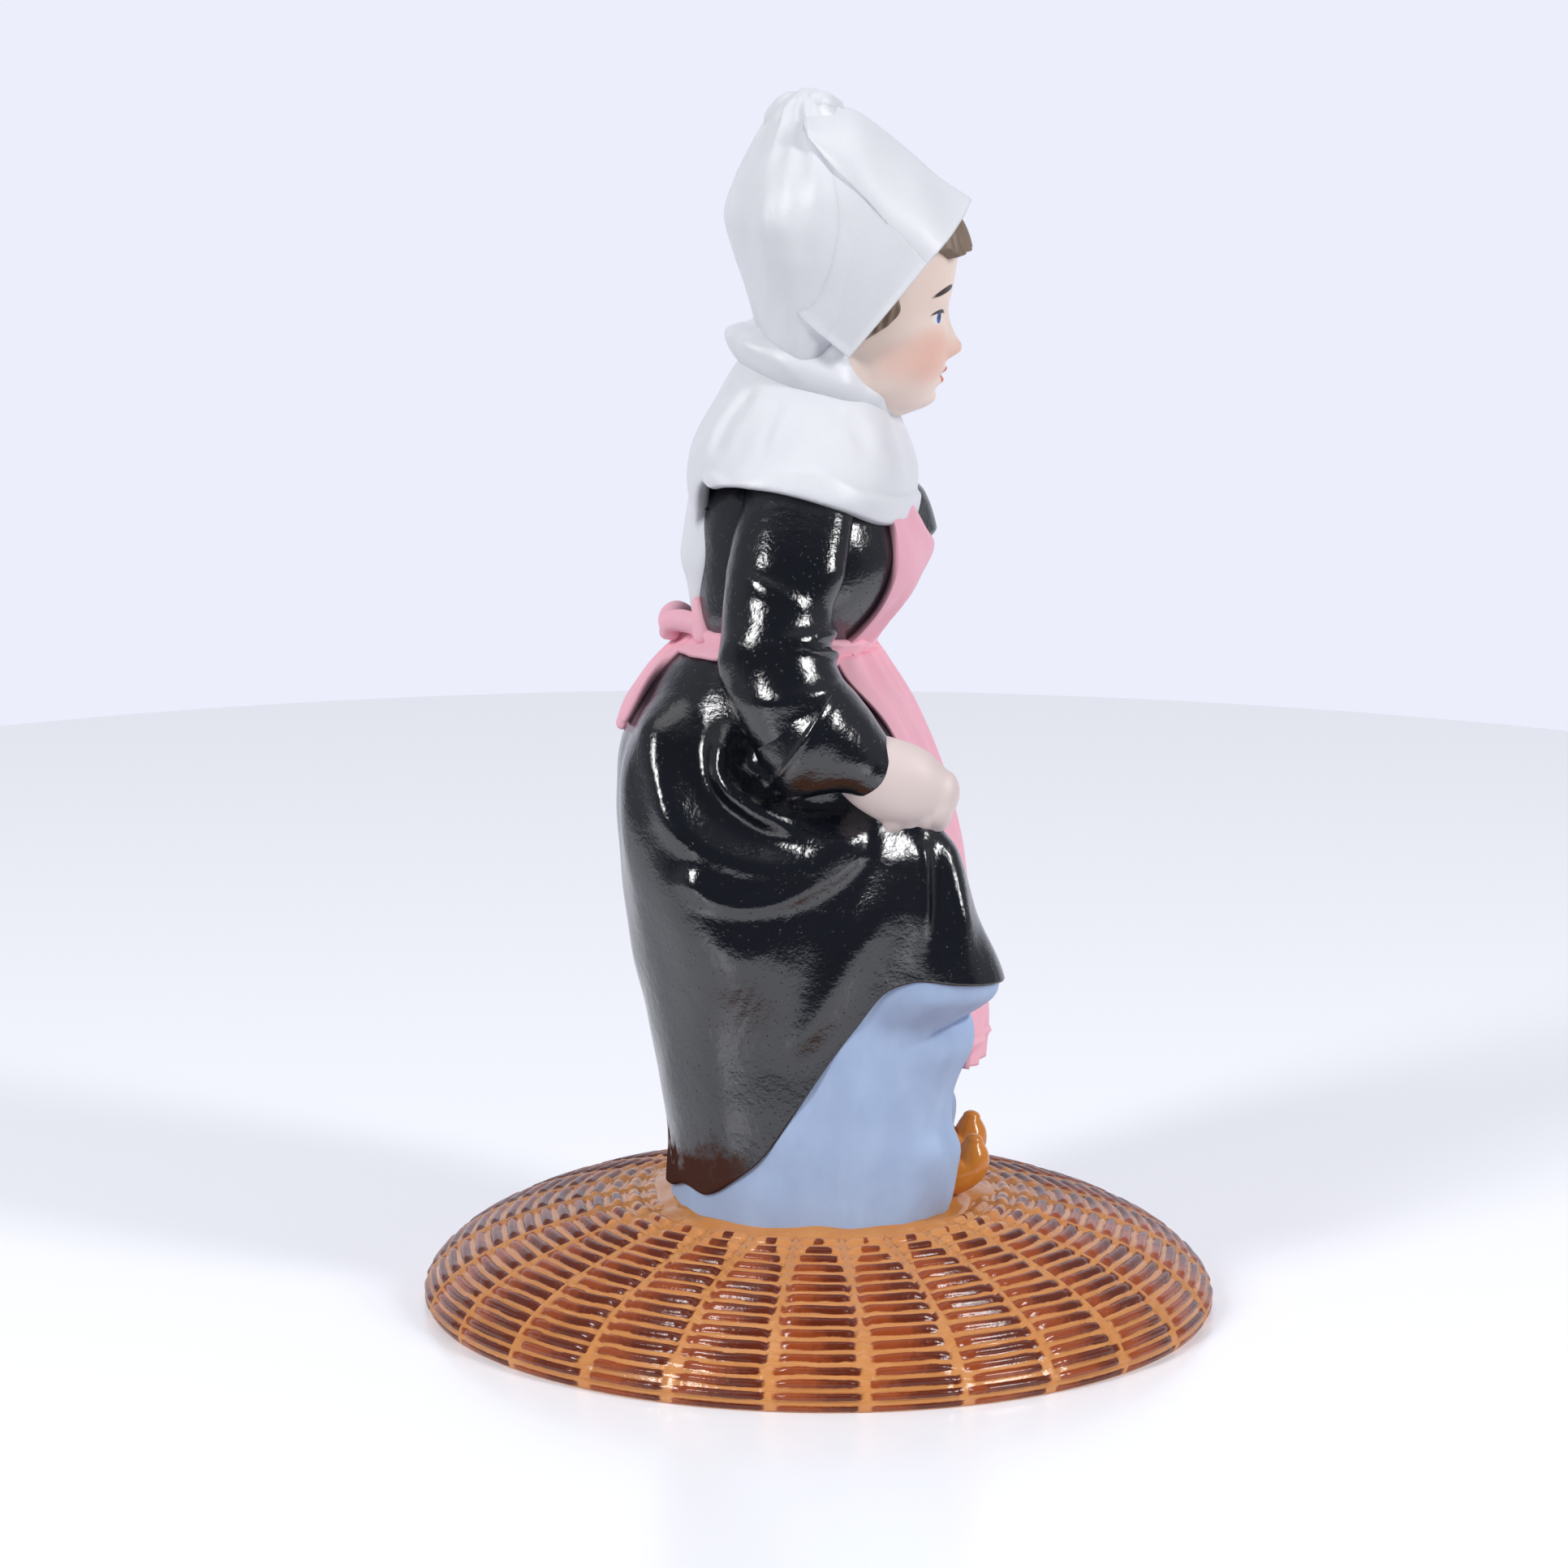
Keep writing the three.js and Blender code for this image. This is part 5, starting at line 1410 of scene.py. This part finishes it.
# %% The hair
OPENING_FOOT = np.array([2.4, 105.3])
OPENING_TOP = np.array([15.7, 121.0])
HAIR_LOW, HAIR_TOP = 106.4, 122.5


def before_opening(x, z):
    """How far a point lies in front of the bonnet's slanted opening."""
    along = (OPENING_TOP - OPENING_FOOT) / np.linalg.norm(OPENING_TOP - OPENING_FOOT)
    return (x - OPENING_FOOT[0]) * along[1] - (z - OPENING_FOOT[1]) * along[0]


def hair():
    cols, rows = 260, 170
    angle = np.linspace(-1.75, 1.75, cols)[None, :]
    z = np.linspace(HAIR_LOW, HAIR_TOP, rows)[:, None] * np.ones(cols)
    wide = np.broadcast_to(angle, z.shape)
    bare = head_form.points(wide, z)
    ahead_of = before_opening(bare[..., 0], bare[..., 2])
    wave = 0.35 * np.sin(wide * 8 + 1.0) + 0.2 * np.sin(wide * 19)
    fringe = step(z, 116.4 + wave, 117.1 + wave)
    lock_width = flow([
        (106, -1.5), (107, -1.2), (108, -0.4), (109.7, 0.5), (111, 0.4), (112.4, -0.6), (114, -1.5),
        (123, -1.5),
    ])(z)
    lock = step(ahead_of, lock_width + 0.3, lock_width - 0.3)
    strands = 0.10 * np.sin(wide * 60 + 3 * np.sin(z * 0.6))
    full = 0.7 + 0.9 * np.clip(np.cos(wide), 0, 1) ** 2 * step(z, 114, 117) + strands
    shown = np.maximum(fringe, lock)
    outer = head_form.points(wide, z, -0.7 + (0.7 + full) * shown)
    return slab("hair", outer, head_form.points(wide, z, -1.6))


hand_over(hair(), ["hair"], HAIR)

# %% [markdown]
# ## The bonnet
# The bonnet is a bag of cloth that is gathered into a knot on top, with a stiff band folded back over the
# forehead, a smooth flap over each ear and a rolled curtain at the nape. Band and flaps are ruled between a
# few corners, so their edges stay crisp, and the bag's gathers fan out from the knot.

# %% The bonnet's crown and knot
crown_form = Sections([
    (104.5, -6.8, 0.8, 8.4), (107.5, -7.4, 3.2, 9.6), (110, -8.0, 6.2, 10.3), (113, -8.9, 9.0, 10.8),
    (117, -10.3, 11.0, 11.2), (120.5, -11.1, 10.6, 11.1), (124, -10.0, 9.0, 10.2), (127, -8.5, 6.6, 8.2),
    (129.4, -7.2, 4.2, 5.6), (130.6, -6.5, 2.8, 4.2), (132, -5.7, 1.2, 3.3), (133.2, -4.3, -0.1, 2.3),
    (134, -2.9, -1.3, 0.8),
], 2.25)
CROWN_LOW, CROWN_TOP = 104.5, 134.0
CROWN_SEAM = [(-4.6, 130.4), (-7.0, 125.0), (-8.6, 120.0), (-8.4, 115.0)]


def crown():
    wide, z = turn_and_height(320, 180, CROWN_LOW, CROWN_TOP)
    plain = crown_form.points(wide, z)
    fan = np.sin(11 * wide + 1.5 * np.sin(2 * wide)) + 0.5 * np.sin(19 * wide + 1.0)
    gather = 0.26 * fan * step(z, 119, 129) * step(z, 133.6, 131.5) + 0.08 * fan * step(z, 130, 118)
    seam, share = side_distance(plain[..., 0], z, CROWN_SEAM)
    gather = gather - 0.45 * bell(seam, 0.9) * step(share, 0, 0.2) * step(share, 1, 0.6)
    return closed_loft("bonnet_crown", crown_form.points(wide, z, gather))


def knot():
    forms = [
        tube([(-4.8, 0.2, 130.2), (-3.6, 0.3, 131.6), (-2.4, -0.2, 132.3)],
             flow([(0, 2.4), (0.6, 2.2), (1, 1.4)]), 40, 30),
        tube([(-3.0, -1.4, 131.6), (-1.2, -1.2, 132.4), (0.8, 0.0, 131.9)],
             flow([(0, 1.2), (0.5, 1.5), (1, 1.1)]), 32, 24),
        tube([(-3.0, 1.6, 131.4), (-1.6, 1.8, 131.8), (0.4, 1.4, 131.0)],
             flow([(0, 1.1), (0.5, 1.4), (1, 0.9)]), 32, 24),
    ]
    return fuse("bonnet_knot", [closed_loft("knot_part", form) for form in forms], 0.22, 8)


hand_over(crown(), ["bonnet_crown"], WHITE)
hand_over(knot(), ["bonnet_knot"], WHITE)

# %% The band, the flaps and the curtain
RIDGE = ((-2.4, 132.0), (2.7, 131.7), (9.6, 126.6), (15.5, 122.2))
CREASE = ((-2.2, 129.2), (-0.9, 127.9), (4.6, 122.3), (10.6, 116.1))
BAND_HALF = 11.2


def band():
    rows, cols = 90, 140
    ridge = spline(RIDGE, rows)
    crease = spline(CREASE, rows)
    across = np.linspace(-1, 1, cols)
    lean = (1 - np.cos(np.abs(across) * np.pi / 2)) ** 0.8
    half = flow([(0, 7.4), (0.25, 9.6), (0.6, 11.0), (1, BAND_HALF)])(np.linspace(0, 1, rows))
    plates = []
    for inset in (0.0, 1.3):
        flat = ridge[:, None] + (crease - ridge)[:, None] * lean[None, :, None]
        y = (half - inset)[:, None] * np.sin(across * np.pi / 2)[None, :]
        x = flat[..., 0] - inset * 0.45 * np.cos(across * np.pi / 2)
        z = flat[..., 1] - inset * 0.9 * np.cos(across * np.pi / 2)
        plates.append(np.stack([x, y, z], axis=-1))
    plates[0][..., 2] += 0.15 * np.sin(plates[0][..., 0] * 0.9 + 2 * across)
    return slab("bonnet_brim", plates[0], plates[1])


def flap(side):
    rows, cols = 90, 90
    top = spline(((-2.0, 128.6), (-0.6, 127.6), (4.8, 122.2), (10.6, 116.3)), cols)
    low = spline(((-5.2, 112.8), (-3.4, 111.0), (-0.6, 108.6), (2.4, 106.2)), cols)
    share = np.linspace(0, 1, rows)[:, None, None]
    flat = between(top[None], low[None], share)
    x, z = flat[..., 0], flat[..., 1]
    u = np.linspace(0, 1, cols)[None, :]
    v = np.linspace(0, 1, rows)[:, None]
    crown_angle = np.pi / 2 + 0 * x
    for _ in range(30):
        reach = crown_form.reach(crown_angle, z)
        ahead_share = np.clip((x - crown_form.centre(z)) / reach, -0.98, 0.98)
        crown_angle = 0.5 * crown_angle + 0.5 * np.arccos(ahead_share)
    beside = crown_form.reach(crown_angle, z) * np.sin(crown_angle)
    stiff = 11.3 + 0.5 * np.sin(v * np.pi) - 1.3 * v ** 2
    lift = step(u, 0.0, 0.8)
    swell = (beside - 0.4) * (1 - lift) + np.maximum(stiff, beside + 0.5) * lift
    rim = 0.25 * np.maximum(bell(1 - u, 0.04), bell(1 - v, 0.05) * lift)
    plates = [np.stack([x, swell + out, z], axis=-1) for out in (rim, -1.1 + 0 * rim)]
    return slab(f"bonnet_wing_{SIDE_WORD[side]}", mirrored(plates[0], side), mirrored(plates[1], side))


CURTAIN_Z = 104.7
CURTAIN_SLOPE = 0.365
roll_form = Sections([
    (-3.0, -7.8, 5.6, 7.4), (-2.4, -9.3, 6.8, 8.4), (-1.5, -10.4, 7.6, 9.0), (-0.4, -10.9, 8.0, 9.4),
    (0.7, -10.6, 7.9, 9.4), (1.5, -9.6, 7.4, 9.1), (2.2, -8.4, 6.8, 8.8), (3.6, -7.4, 6.4, 8.8),
    (6.0, -7.0, 6.0, 8.6),
], 2.1)


def curtain():
    wide, lift = turn_and_height(280, 70, -3.0, 6.0)
    crimp = 0.18 * np.sin(13 * wide + 2 * np.sin(2 * wide)) * step(lift, -2.5, 0.5)
    grid = roll_form.points(wide, lift, crimp)
    grid[..., 2] += CURTAIN_Z - CURTAIN_SLOPE * (grid[..., 0] + 3)
    return closed_loft("bonnet_curtain", grid)


hand_over(band(), ["bonnet_brim"], WHITE)
for side, word in SIDE_WORD.items():
    hand_over(flap(side), [f"bonnet_wing_{word}"], WHITE)
hand_over(curtain(), ["bonnet_curtain"], WHITE)
